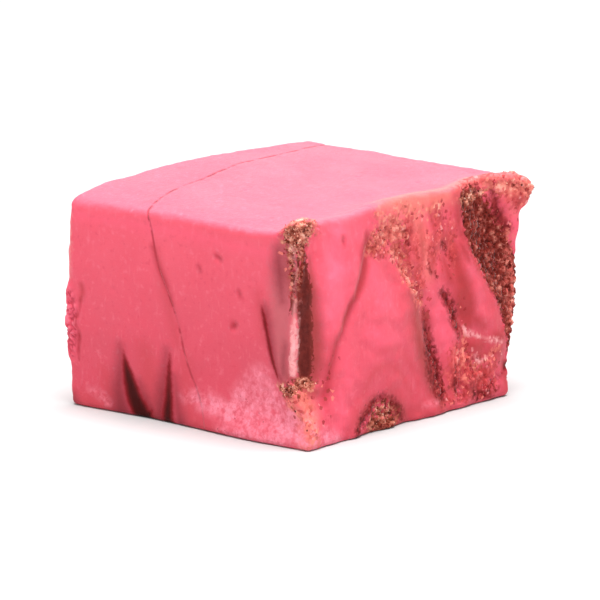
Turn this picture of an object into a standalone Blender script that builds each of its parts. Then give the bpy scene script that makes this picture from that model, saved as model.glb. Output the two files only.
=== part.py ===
"""One hand-cut piece of marbled fudge, poured in two layers and lying on a cut side.

Metres, +Z up, origin on the ground under the middle of the piece.
X runs through the slab, from the foot of the first pour at -X to the swirled
top of the second pour at +X. The other four faces are knife cuts.
"""

import math

import bmesh
import bpy
from mathutils import Vector, noise

MM = 0.001

# Driving dimensions, in millimetres.
LENGTH = 32.5  # X, the thickness of the slab
WIDTH = 35.0  # Y, between the two long cuts
HEIGHT = 24.0  # Z, between the cut it lies on and the cut on top
EDGE_RADIUS = 0.6
CELL = 1.1  # side of one facet

# The four upright edges lean as the knife left them: (x, y) of the foot and
# (x, y, z) of the head, keyed by the end of the length and the end of the width.
EDGE_FEET = {
    (0, 0): (-18.1, -16.8),
    (1, 0): (16.2, -16.1),
    (0, 1): (-15.3, 16.2),
    (1, 1): (17.8, 16.8),
}
EDGE_HEADS = {
    (0, 0): (-17.7, -17.3, 23.4),
    (1, 0): (14.9, -18.1, 23.8),
    (0, 1): (-12.8, 19.0, 25.1),
    (1, 1): (17.0, 18.9, 24.8),
}
# Brings the middle of the finished piece's outline over the origin.
CENTRE = (0.1, -1.06)

# The seam between the pours: its distance from the foot of the slab at the
# front bottom edge, how it leans over the height and how it runs back.
SEAM_FOOT = 18.5
SEAM_LEAN = 7.3
SEAM_RUN_BACK = 9.2
SEAM_EASE = 20.0
SEAM_LOW_SHARE = 0.65  # the bottom runs back less than the top
SEAM_WAVE = 0.2
SEAM_GAP = 0.3
SEAM_DIP = 0.35
SEAM_DIP_REACH = 0.6

RELIEF_DEPTH = 3.0  # how far below a face its relief still shifts the mass

# Unevenness of the cut faces and of the swirled top: height and wavelength.
CUT_WAVE = (0.16, 7.0)
SWIRL_WAVE = (0.34, 4.2)
CRUMB_WAVE = (0.22, 1.9)

# The top's crown along its far left edge and the droop of its near left corner.
CROWN = 1.35
CROWN_SCALE = 2.6  # brings the crest of the skewed arch to 1
CORNER_DROOP = 0.15
DROOP_REACH = 3.0
# How far the back cut and the foot of the slab belly out at half height.
BACK_BELLY = 0.8
FOOT_BELLY = 0.4
# The soft foot that spreads out under the front face, towards the front corner.
FLARE = 1.2
FLARE_HEIGHT = 2.6
FLARE_SPAN = (0.3, 0.8)  # where it starts and where it is full, as shares of the length
# The burr that the knife dragged up along the top of the swirled side, as
# (distance from the front corner, height), and how far in and down it reaches.
RIM = (
    (0.0, 0.5), (5.0, 0.9), (9.0, 0.7), (14.0, 1.3), (18.0, 1.2),
    (24.0, 0.6), (28.0, 0.9), (31.5, 1.0), (33.5, 0.6), (35.0, -0.1),
)
RIM_REACH = 3.0
RIM_DROP = 6.0
# The lump of chocolate that caps the front corner: its height, its size along
# and behind the front edge, and how soft its outline is.
CAP = {"rise": 1.4, "long": 1.9, "deep": 3.2, "soft": 1.0}
# The front corner bows to the front low down: how far, the heights between
# which it does so in full and where it ends, and how far along both faces.
CORNER_BOW = {"out": 1.0, "full": (6.5, 9.0), "gone": (0.5, 20.0), "span": 5.0}
# The chocolate ribbon along the front corner lies sunk, between two heights.
CORNER_RIBBON = {"low": 7.0, "high": 22.6, "front": 4.0, "side": 3.2, "sunk": 0.45}
# The torn lip that overhangs the far top corner of the swirled side: how far
# out, how far along both edges, how thick, and how far under the top it sticks out most.
LIP = {"out": 2.1, "along": 3.2, "thick": 2.1, "under": 1.2}
LIP_HEADING = math.radians(38.0)
# Flakes torn up along the front left edge, by height: (z, reach, height).
FLAKES = ((12.7, 1.3, 0.55), (9.6, 1.6, 0.75), (6.6, 1.2, 0.5))
FLAKE_RUN = 1.6  # how far they run back along the foot of the slab

# Chocolate drawn through the swirled top, as (points, half width, depth). The
# points are (distance from the front corner, height) on that face.
SWIRLS = {
    "left_leg": (((11.2, 20.0), (8.7, 15.4), (5.5, 10.7), (2.6, 4.4)), 0.7, 0.35),
    "middle_band": (((14.6, 20.7), (18.7, 15.1), (21.2, 7.5), (23.8, 2.1)), 1.2, 0.6),
    "hook": (((23.7, 13.0), (25.9, 10.2), (26.7, 8.2), (26.2, 2.4)), 0.9, 0.45),
    "dark_band": (((28.5, 23.6), (31.0, 18.0), (33.6, 11.5), (34.8, 4.0)), 1.9, 0.55),
    "arch_core": (((9.5, 0.2), (13.4, 2.0), (16.8, 0.2)), 1.4, 0.5),
}
# Low swells between the bands, as (centre, radius, height).
SWELLS = (
    ((14.5, 11.0), 4.6, 0.45),
    ((5.5, 17.5), 3.6, 0.3),
    ((29.0, 12.5), 2.6, 0.3),
    ((34.0, 9.0), 4.0, 0.6),
)

PINK = (0.92, 0.16, 0.25)
SWIRLED_PINK = (0.72, 0.13, 0.18)


def ease(low, high, value):
    """0 below low, 1 above high, and a smooth rise between them."""
    share = min(1.0, max(0.0, (value - low) / (high - low)))
    return share * share * (3 - 2 * share)


def hump(distance, reach):
    """A bell of height 1 that has all but gone at twice its reach."""
    return math.exp(-((distance / reach) ** 2))


def wave(size, *place):
    """Smooth unevenness of the given (height, wavelength)."""
    height, length = size
    return height * noise.fractal(Vector(place) / length, 1.0, 2.0, 2)


def to_line(point, line):
    """Distance from a point on a face to a line of straight runs."""
    nearest = math.inf
    here = Vector(point)
    for start, end in zip(line, line[1:]):
        a, run = Vector(start), Vector(end) - Vector(start)
        share = min(1.0, max(0.0, (here - a).dot(run) / run.length_squared))
        nearest = min(nearest, (here - a - run * share).length)
    return nearest


def seam_at(depth, height):
    """Distance of the seam from the foot of the slab, at a depth behind the front face."""
    rise = height / HEIGHT
    back = SEAM_RUN_BACK * (1 - math.exp(-depth / SEAM_EASE))
    back *= SEAM_LOW_SHARE + (1 - SEAM_LOW_SHARE) * rise
    ripple = SEAM_WAVE * math.sin(depth * 0.45 + height * 0.6)
    return SEAM_FOOT - SEAM_LEAN * rise - back + ripple


def seam_groove(length, depth, height):
    return -SEAM_DIP * hump(length - seam_at(depth, height), SEAM_DIP_REACH)


def table(stops, at):
    """The value at a place, straight between the (place, value) stops around it."""
    for (start, low), (end, high) in zip(stops, stops[1:]):
        if at <= end:
            share = max(0.0, at - start) / (end - start)
            return low + (high - low) * share
    return stops[-1][1]


def corner_bow(from_corner, height):
    """How far the front corner bows to the front, low down."""
    along = 1 - ease(0.0, CORNER_BOW["span"], from_corner)
    (low, high), (foot, head) = CORNER_BOW["full"], CORNER_BOW["gone"]
    return CORNER_BOW["out"] * along * ease(foot, low, height) * (1 - ease(high, head, height))


def front_relief(length, height):
    """Outward relief of the front cut."""
    out = wave(CUT_WAVE, length, 0.0, height) + seam_groove(length, 0.0, height)
    out += FLARE * hump(height, FLARE_HEIGHT) * ease(*FLARE_SPAN, length / LENGTH)
    out += corner_bow(LENGTH - length, height)
    sunk = ease(LENGTH - CORNER_RIBBON["front"], LENGTH - 1.0, length)
    out -= CORNER_RIBBON["sunk"] * sunk * ribbon_span(height)
    return out


def ribbon_span(height):
    """1 along the height of the corner ribbon, 0 above and below it."""
    start = ease(CORNER_RIBBON["low"] - 0.8, CORNER_RIBBON["low"] + 0.8, height)
    end = ease(CORNER_RIBBON["high"] - 0.8, CORNER_RIBBON["high"] + 0.8, height)
    return start * (1 - end)


def swirl_relief(across, height):
    """Outward relief of the marbled top of the slab, which faces +X."""
    out = wave(SWIRL_WAVE, 40.0, across, height) + wave(CRUMB_WAVE, 90.0, across, height)
    for centre, radius, rise in SWELLS:
        out += rise * hump((Vector(centre) - Vector((across, height))).length, radius)
    for line, half_width, depth in SWIRLS.values():
        out -= depth * hump(to_line((across, height), line), half_width)
    out -= corner_bow(across, height)
    sunk = 1 - ease(CORNER_RIBBON["side"] - 1.0, CORNER_RIBBON["side"] + 0.6, across)
    return out - CORNER_RIBBON["sunk"] * sunk * ribbon_span(height)


def belly(height):
    """0 at the foot and the head, 1 at half height."""
    rise = height / HEIGHT
    return 4 * rise * (1 - rise)


def back_relief(length, height):
    """Outward relief of the back cut."""
    out = wave(CUT_WAVE, length, 60.0, height) + seam_groove(length, WIDTH, height)
    return out + BACK_BELLY * belly(height)


def foot_relief(across, height):
    """Outward relief of the foot of the slab, which faces -X, with its torn flakes."""
    out = wave(CUT_WAVE, -30.0, across, height) + FOOT_BELLY * belly(height)
    for level, reach, rise in FLAKES:
        out += rise * hump(height - level, reach) * hump(across, FLAKE_RUN)
    return out


def top_relief(length, depth):
    """Upward relief of the top cut."""
    out = wave(CUT_WAVE, length, depth, 80.0) + seam_groove(length, depth, HEIGHT)
    along, across = max(0.0, depth) / WIDTH, 1 - length / LENGTH
    skewed_arch = CROWN_SCALE * math.sqrt(along) * (1 - along)
    out += CROWN * skewed_arch * across**1.5
    return out - CORNER_DROOP * hump(math.hypot(length, depth), DROOP_REACH)


def cap_span(from_side, depth):
    """1 on the lump of chocolate that caps the front corner, 0 off it."""
    soft = CAP["soft"]
    along = 1 - ease(CAP["long"] - soft, CAP["long"] + soft, from_side)
    return along * (1 - ease(CAP["deep"] - soft, CAP["deep"] + soft, depth))


def rim_relief(length, depth):
    """Upward relief of the burr and the cap, along the top of the swirled side."""
    rim = table(RIM, depth) * hump(LENGTH - length, RIM_REACH)
    return rim + CAP["rise"] * cap_span(LENGTH - length, depth)


def rounded(place):
    """Pulls a point of the square block onto the block with rounded edges."""
    sides = Vector((LENGTH, WIDTH, HEIGHT))
    inner = Vector(
        min(max(p, EDGE_RADIUS), side - EDGE_RADIUS) for p, side in zip(place, sides)
    )
    reach = place - inner
    if reach.length < 1e-9:
        return place
    return inner + reach * (max(abs(r) for r in reach) / reach.length)


def leaned(place):
    """The point of the leaning block, for a point of the square one."""
    s, t, h = place.x / LENGTH, place.y / WIDTH, place.z / HEIGHT
    at = Vector((0.0, 0.0, 0.0))
    for (i, j), foot in EDGE_FEET.items():
        share = (s if i else 1 - s) * (t if j else 1 - t)
        head = Vector(EDGE_HEADS[i, j])
        at += share * Vector((*foot, 0.0)).lerp(head, h)
    return at


def lip(place):
    """The push of the torn lip at the top right corner."""
    away = hump(WIDTH - place.y, LIP["along"]) * hump(LENGTH - place.x, LIP["along"])
    away *= hump(HEIGHT - LIP["under"] - place.z, LIP["thick"])
    out = LIP["out"] * away
    return Vector((math.cos(LIP_HEADING), math.sin(LIP_HEADING), 0.0)) * out


def fudge_point(length, depth, height):
    """Where a point of the square block ends up in the real piece, in millimetres."""
    place = rounded(Vector((length, depth, height)))
    x, y, z = place
    at = leaned(place) + lip(place)
    at.y -= front_relief(x, z) * hump(y, RELIEF_DEPTH)
    at.y += back_relief(x, z) * hump(WIDTH - y, RELIEF_DEPTH)
    at.x += swirl_relief(y, z) * hump(LENGTH - x, RELIEF_DEPTH)
    at.x -= foot_relief(y, z) * hump(x, RELIEF_DEPTH)
    at.z += top_relief(x, y) * ease(0.0, HEIGHT, z)
    at.z += rim_relief(x, y) * ease(HEIGHT - RIM_DROP, HEIGHT, z)
    return at + Vector((*CENTRE, 0.0))


def gridded_cube(cells):
    """A cube from 0 to 1 whose faces are cut into cells along x, y and z."""
    bm = bmesh.new()
    bmesh.ops.create_cube(bm, size=1.0)
    bmesh.ops.translate(bm, verts=bm.verts, vec=(0.5, 0.5, 0.5))
    for axis, count in enumerate(cells):
        along = [
            e for e in bm.edges if abs(e.verts[0].co[axis] - e.verts[1].co[axis]) > 0.5
        ]
        bmesh.ops.subdivide_edges(bm, edges=along, cuts=count - 1, use_grid_fill=True)
    return bm


def fudge_material(name, colour):
    material = bpy.data.materials.new(name)
    material.use_nodes = True
    shader = material.node_tree.nodes["Principled BSDF"]
    shader.inputs["Base Color"].default_value = (*colour, 1.0)
    shader.inputs["Roughness"].default_value = 0.55
    shader.inputs["Metallic"].default_value = 0.0
    return material


def poured_layer(name, start, end, cells_through, colour):
    """One pour of the slab: the block between two surfaces across its length."""
    bm = gridded_cube((cells_through, round(WIDTH / CELL), round(HEIGHT / CELL)))
    for vert in bm.verts:
        depth, height = vert.co.y * WIDTH, vert.co.z * HEIGHT
        low, high = start(depth, height), end(depth, height)
        length = low + (high - low) * vert.co.x
        vert.co = fudge_point(length, depth, height) * MM
    bmesh.ops.triangulate(bm, faces=bm.faces)
    bmesh.ops.recalc_face_normals(bm, faces=bm.faces)
    mesh = bpy.data.meshes.new(name)
    bm.to_mesh(mesh)
    bm.free()
    mesh.shade_smooth()
    mesh.set_sharp_from_angle(angle=math.radians(40.0))
    mesh.materials.append(fudge_material(name + "_pink", colour))
    layer = bpy.data.objects.new(name, mesh)
    bpy.context.scene.collection.objects.link(layer)
    return layer


def main():
    for obj in list(bpy.data.objects):
        bpy.data.objects.remove(obj)
    half_gap = SEAM_GAP / 2
    poured_layer(
        "base_layer",
        start=lambda depth, height: 0.0,
        end=lambda depth, height: seam_at(depth, height) - half_gap,
        cells_through=8,
        colour=PINK,
    )
    poured_layer(
        "swirled_layer",
        start=lambda depth, height: seam_at(depth, height) + half_gap,
        end=lambda depth, height: LENGTH,
        cells_through=18,
        colour=SWIRLED_PINK,
    )


main()
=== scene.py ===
"""Looks of one hand-cut piece of marbled fudge, lying on a cut side.

The form repeats the block's driving dimensions, on meshes fine enough for crags,
smears and grains. Places on the block are in millimetres: length runs from the
foot of the slab to its swirled top, depth runs back from the front cut, and height
runs up from the cut it lies on.
"""

import math
import random

import bmesh
import bpy
import numpy as np
from mathutils import Euler, Matrix, Vector, noise


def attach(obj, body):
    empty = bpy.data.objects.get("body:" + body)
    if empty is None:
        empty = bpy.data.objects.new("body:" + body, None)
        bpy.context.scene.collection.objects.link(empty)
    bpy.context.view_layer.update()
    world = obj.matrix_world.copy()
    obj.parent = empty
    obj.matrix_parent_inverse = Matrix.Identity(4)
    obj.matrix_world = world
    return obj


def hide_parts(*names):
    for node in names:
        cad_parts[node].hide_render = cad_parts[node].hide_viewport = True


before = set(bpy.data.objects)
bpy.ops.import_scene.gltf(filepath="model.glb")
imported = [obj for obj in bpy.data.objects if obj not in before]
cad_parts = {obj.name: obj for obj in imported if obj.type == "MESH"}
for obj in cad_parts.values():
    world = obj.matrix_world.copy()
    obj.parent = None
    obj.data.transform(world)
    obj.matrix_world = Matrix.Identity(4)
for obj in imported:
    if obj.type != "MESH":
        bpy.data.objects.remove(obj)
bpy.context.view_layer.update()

MM = 0.001

# ---------------------------------------------------------------- the block's form

LENGTH = 32.5
WIDTH = 35.0
HEIGHT = 24.0
EDGE_RADIUS = 0.6

# Feet, as (x, y), and heads, as (x, y, z), of the four upright edges of the leaning
# block. The keys are 1 on the swirled side, and 1 at the back.
EDGE_FEET = {
    (0, 0): (-18.1, -16.8),
    (1, 0): (16.2, -16.1),
    (0, 1): (-15.3, 16.2),
    (1, 1): (17.8, 16.8),
}
EDGE_HEADS = {
    (0, 0): (-17.7, -17.3, 23.4),
    (1, 0): (14.9, -18.1, 23.8),
    (0, 1): (-12.8, 19.0, 25.1),
    (1, 1): (17.0, 18.9, 24.8),
}
CENTRE = (0.1, -1.06)  # the shift that brings its middle over the origin

# The seam starts this far from the foot of the slab, leans with height, and runs back.
SEAM_FOOT = 18.5
SEAM_LEAN = 7.3
SEAM_RUN_BACK = 9.2
SEAM_EASE = 20.0
SEAM_LOW_SHARE = 0.65
SEAM_WAVE = 0.2
SEAM_WAVE_TURN = (0.45, 0.6)  # radians for each millimetre of depth and of height
SEEN_GAP = 0.004  # the pours touch, but for a hairline
SEAM_DIP = 0.04
SEAM_DIP_REACH = 0.3

RELIEF_DEPTH = 3.0  # how far into the block a face's relief fades
RELIEF_END = 2.2  # where it is as good as gone, in fades
# How fast finer waves fade, and how many times finer each is than the one before.
WAVE_FADE, WAVE_STEP = 1.0, 2.0
CUT_WAVE = (0.16, 7.0)  # height and wavelength
SWIRL_WAVE = (0.22, 4.2)
CRUMB_WAVE = (0.12, 1.9)
# Where in the noise each wave is cut out, so that no two are alike.
SLICES = {"front": 0.0, "swirl": 40.0, "crumb": 90.0, "back": 60.0, "foot": -30.0, "top": 80.0}
CROWN = 1.35
CROWN_SCALE = 2.6  # brings the crest of the skewed arch to 1
CROWN_FALL = 1.5  # how fast it falls towards the swirled side, as a power
CORNER_DROOP = 0.15
DROOP_REACH = 3.0
BACK_BELLY = 0.8
FOOT_BELLY = 0.4
FLARE = 1.2
FLARE_HEIGHT = 2.6
FLARE_SPAN = (0.3, 0.8)
# The burr along the top of the swirled side, as (depth, rise).
RIM = (
    (0.0, 0.5), (5.0, 0.9), (9.0, 0.7), (14.0, 1.3), (18.0, 1.2),
    (24.0, 0.6), (28.0, 0.9), (31.5, 1.0), (33.5, 0.6), (35.0, -0.1),
)
RIM_REACH = 3.0
RIM_DROP = 6.0
CAP = {"rise": 0.95, "long": 1.9, "deep": 3.2, "soft": 1.0}
CORNER_BOW = {"out": 1.0, "full": (6.5, 9.0), "gone": (0.5, 20.0), "span": 5.0}
CORNER_RIBBON = {"low": 7.0, "high": 22.6, "front": 4.0, "side": 3.2, "sunk": 0.45}
RIBBON_FADE = {"ends": 0.8, "front": 1.0, "side": (1.0, 0.6)}
LIP = {"out": 2.1, "along": 3.2, "thick": 2.1, "under": 1.2}
LIP_HEADING = math.radians(38.0)
FLAKES = ((12.7, 1.3, 0.55), (9.6, 1.6, 0.75), (6.6, 1.2, 0.5))  # height, reach, rise
FLAKE_RUN = 1.6

# Grooves of the swirled side, as (line, half width, depth), and swells, as (centre,
# radius, rise).
GROOVES = (
    (((11.2, 20.0), (8.7, 15.4), (5.5, 10.7), (2.6, 4.4)), 0.7, 0.35),
    (((14.6, 20.7), (18.7, 15.1), (21.2, 7.5), (23.8, 2.1)), 1.2, 0.35),
    (((23.7, 13.0), (25.9, 10.2), (26.7, 8.2), (26.2, 2.4)), 0.9, 0.3),
    (((28.5, 23.6), (31.0, 18.0), (33.6, 11.5), (34.8, 4.0)), 1.9, 0.55),
    (((9.5, 0.2), (13.4, 2.0), (16.8, 0.2)), 1.4, 0.5),
)
SWELLS = (
    ((14.5, 11.0), 4.6, 0.45),
    ((5.5, 17.5), 3.6, 0.3),
    ((29.0, 12.5), 2.6, 0.3),
    ((34.0, 9.0), 4.0, 0.6),
    ((35.0, 18.4), 2.2, 0.4),
)

# Cells along length, depth and height on the two pours' meshes.
FIRST_POUR_CELLS = (88, 156, 112)
SECOND_POUR_CELLS = (112, 156, 112)


def ease(low, high, value):
    """0 below low, 1 above high, and a smooth rise between them."""
    share = np.clip((value - low) / (high - low), 0.0, 1.0)
    return share * share * (3 - 2 * share)


def hump(distance, reach):
    """A bell of height 1 that has all but gone at twice its reach."""
    return np.exp(-((distance / reach) ** 2))


def wave(size, *place, octaves=2):
    """Smooth unevenness of the given (height, wavelength) at arrays of places."""
    height, length = size
    places = np.stack(np.broadcast_arrays(*place), axis=-1) / length
    found = [noise.fractal(at, WAVE_FADE, WAVE_STEP, octaves) for at in places.tolist()]
    return height * np.array(found)


def where_near(distance, reach, relief):
    """A relief on one face that fades inwards. It is worked out near that face only."""
    near = distance < RELIEF_END * reach
    shift = np.zeros(len(distance))
    shift[near] = relief(near) * hump(distance[near], reach)
    return shift


def to_line(a, b, line, widths=None):
    """How far points lie outside a line of straight runs with the given half widths."""
    least = np.full(len(a), np.inf)
    widths = [0.0] * len(line) if widths is None else widths
    for (start, end), (thick, thin) in zip(zip(line, line[1:]), zip(widths, widths[1:])):
        run = np.subtract(end, start)
        da, db = a - start[0], b - start[1]
        share = np.clip((da * run[0] + db * run[1]) / (run @ run), 0.0, 1.0)
        away = np.hypot(da - share * run[0], db - share * run[1])
        least = np.minimum(least, away - (thick + (thin - thick) * share))
    return least


def seam_at(depth, height):
    """Distance of the seam from the foot of the slab."""
    rise = height / HEIGHT
    back = SEAM_RUN_BACK * (1 - np.exp(-depth / SEAM_EASE))
    back = back * (SEAM_LOW_SHARE + (1 - SEAM_LOW_SHARE) * rise)
    ripple = SEAM_WAVE * np.sin(depth * SEAM_WAVE_TURN[0] + height * SEAM_WAVE_TURN[1])
    return SEAM_FOOT - SEAM_LEAN * rise - back + ripple


def seam_groove(length, depth, height):
    return -SEAM_DIP * hump(length - seam_at(depth, height), SEAM_DIP_REACH)


def belly(height):
    rise = height / HEIGHT
    return 4 * rise * (1 - rise)


def ribbon_span(height):
    """1 along the height of the corner ribbon, 0 above and below it."""
    low, high, fade = CORNER_RIBBON["low"], CORNER_RIBBON["high"], RIBBON_FADE["ends"]
    return ease(low - fade, low + fade, height) * (1 - ease(high - fade, high + fade, height))


def corner_bow(from_corner, height):
    """How far the front corner bows to the front, low down."""
    along = 1 - ease(0.0, CORNER_BOW["span"], from_corner)
    (low, high), (foot, head) = CORNER_BOW["full"], CORNER_BOW["gone"]
    return CORNER_BOW["out"] * along * ease(foot, low, height) * (1 - ease(high, head, height))


def front_relief(length, height):
    out = wave(CUT_WAVE, length, SLICES["front"], height) + seam_groove(length, 0.0, height)
    out += FLARE * hump(height, FLARE_HEIGHT) * ease(*FLARE_SPAN, length / LENGTH)
    out += corner_bow(LENGTH - length, height)
    sunk = ease(LENGTH - CORNER_RIBBON["front"], LENGTH - RIBBON_FADE["front"], length)
    return out - CORNER_RIBBON["sunk"] * sunk * ribbon_span(height)


def swirl_relief(across, height):
    out = wave(SWIRL_WAVE, SLICES["swirl"], across, height)
    out += wave(CRUMB_WAVE, SLICES["crumb"], across, height)
    for centre, radius, rise in SWELLS:
        out += rise * hump(np.hypot(across - centre[0], height - centre[1]), radius)
    for line, half_width, depth in GROOVES:
        out -= depth * hump(to_line(across, height, line), half_width)
    out -= corner_bow(across, height)
    side, (before, after) = CORNER_RIBBON["side"], RIBBON_FADE["side"]
    sunk = 1 - ease(side - before, side + after, across)
    return out - CORNER_RIBBON["sunk"] * sunk * ribbon_span(height)


def back_relief(length, height):
    out = wave(CUT_WAVE, length, SLICES["back"], height) + seam_groove(length, WIDTH, height)
    return out + BACK_BELLY * belly(height)


def foot_relief(across, height):
    out = wave(CUT_WAVE, SLICES["foot"], across, height) + FOOT_BELLY * belly(height)
    for level, reach, rise in FLAKES:
        out += rise * hump(height - level, reach) * hump(across, FLAKE_RUN)
    return out


def cap_span(from_side, depth):
    """1 on the lump of chocolate that caps the front corner, 0 off it."""
    soft = CAP["soft"]
    along = 1 - ease(CAP["long"] - soft, CAP["long"] + soft, from_side)
    return along * (1 - ease(CAP["deep"] - soft, CAP["deep"] + soft, depth))


def top_relief(length, depth):
    out = wave(CUT_WAVE, length, depth, SLICES["top"]) + seam_groove(length, depth, HEIGHT)
    along, across = np.maximum(depth, 0.0) / WIDTH, 1 - length / LENGTH
    skewed_arch = CROWN_SCALE * np.sqrt(along) * (1 - along)
    out += CROWN * skewed_arch * across**CROWN_FALL
    return out - CORNER_DROOP * hump(np.hypot(length, depth), DROOP_REACH)


def rim_relief(length, depth):
    """The burr along the top of the swirled side, and the lump that caps its front corner."""
    rim = np.interp(depth, *zip(*RIM)) * hump(LENGTH - length, RIM_REACH)
    return rim + CAP["rise"] * cap_span(LENGTH - length, depth)


def rounded(places):
    """Pulls points of the square block onto the block with rounded edges."""
    sides = np.array((LENGTH, WIDTH, HEIGHT))
    inner = np.clip(places, EDGE_RADIUS, sides - EDGE_RADIUS)
    reach = places - inner
    far = np.linalg.norm(reach, axis=1)
    share = np.abs(reach).max(axis=1) / np.maximum(far, 1e-9)
    return inner + reach * share[:, None]


def leaned(places):
    """The points of the leaning block, for points of the square one."""
    s, t, h = (places / (LENGTH, WIDTH, HEIGHT)).T
    at = np.zeros_like(places)
    for (i, j), foot in EDGE_FEET.items():
        share = (s if i else 1 - s) * (t if j else 1 - t)
        low, high = np.array((*foot, 0.0)), np.array(EDGE_HEADS[i, j])
        at += share[:, None] * (low + (high - low) * h[:, None])
    return at


def lip_push(places):
    length, depth, height = places.T
    away = hump(WIDTH - depth, LIP["along"]) * hump(LENGTH - length, LIP["along"])
    away *= hump(HEIGHT - LIP["under"] - height, LIP["thick"])
    heading = np.array((math.cos(LIP_HEADING), math.sin(LIP_HEADING), 0.0))
    return LIP["out"] * away[:, None] * heading


def fudge_points(square):
    """Where points of the square block end up in the real piece, in millimetres."""
    places = rounded(square)
    x, y, z = places.T
    at = leaned(places) + lip_push(places)
    depth = RELIEF_DEPTH
    at[:, 1] -= where_near(y, depth, lambda n: front_relief(x[n], z[n]))
    at[:, 1] += where_near(WIDTH - y, depth, lambda n: back_relief(x[n], z[n]))
    at[:, 0] += where_near(LENGTH - x, depth, lambda n: swirl_relief(y[n], z[n]))
    at[:, 0] -= where_near(x, depth, lambda n: foot_relief(y[n], z[n]))
    at[:, 2] += top_relief(x, y) * ease(0.0, HEIGHT, z)
    at[:, 2] += rim_relief(x, y) * ease(HEIGHT - RIM_DROP, HEIGHT, z)
    return at + (*CENTRE, 0.0)


# ---------------------------------------------------------------- where the chocolate shows

# Faces of the block, as the two places that a stroke runs over and the way in.
FACES = {
    "front": lambda l, d, h: (l, h, d),
    "swirl": lambda l, d, h: (d, h, LENGTH - l),
    "top": lambda l, d, h: (l, d, HEIGHT - h),
    "back": lambda l, d, h: (l, h, WIDTH - d),
    "foot": lambda l, d, h: (d, h, l),
    "under": lambda l, d, h: (l, d, h),
}

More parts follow.
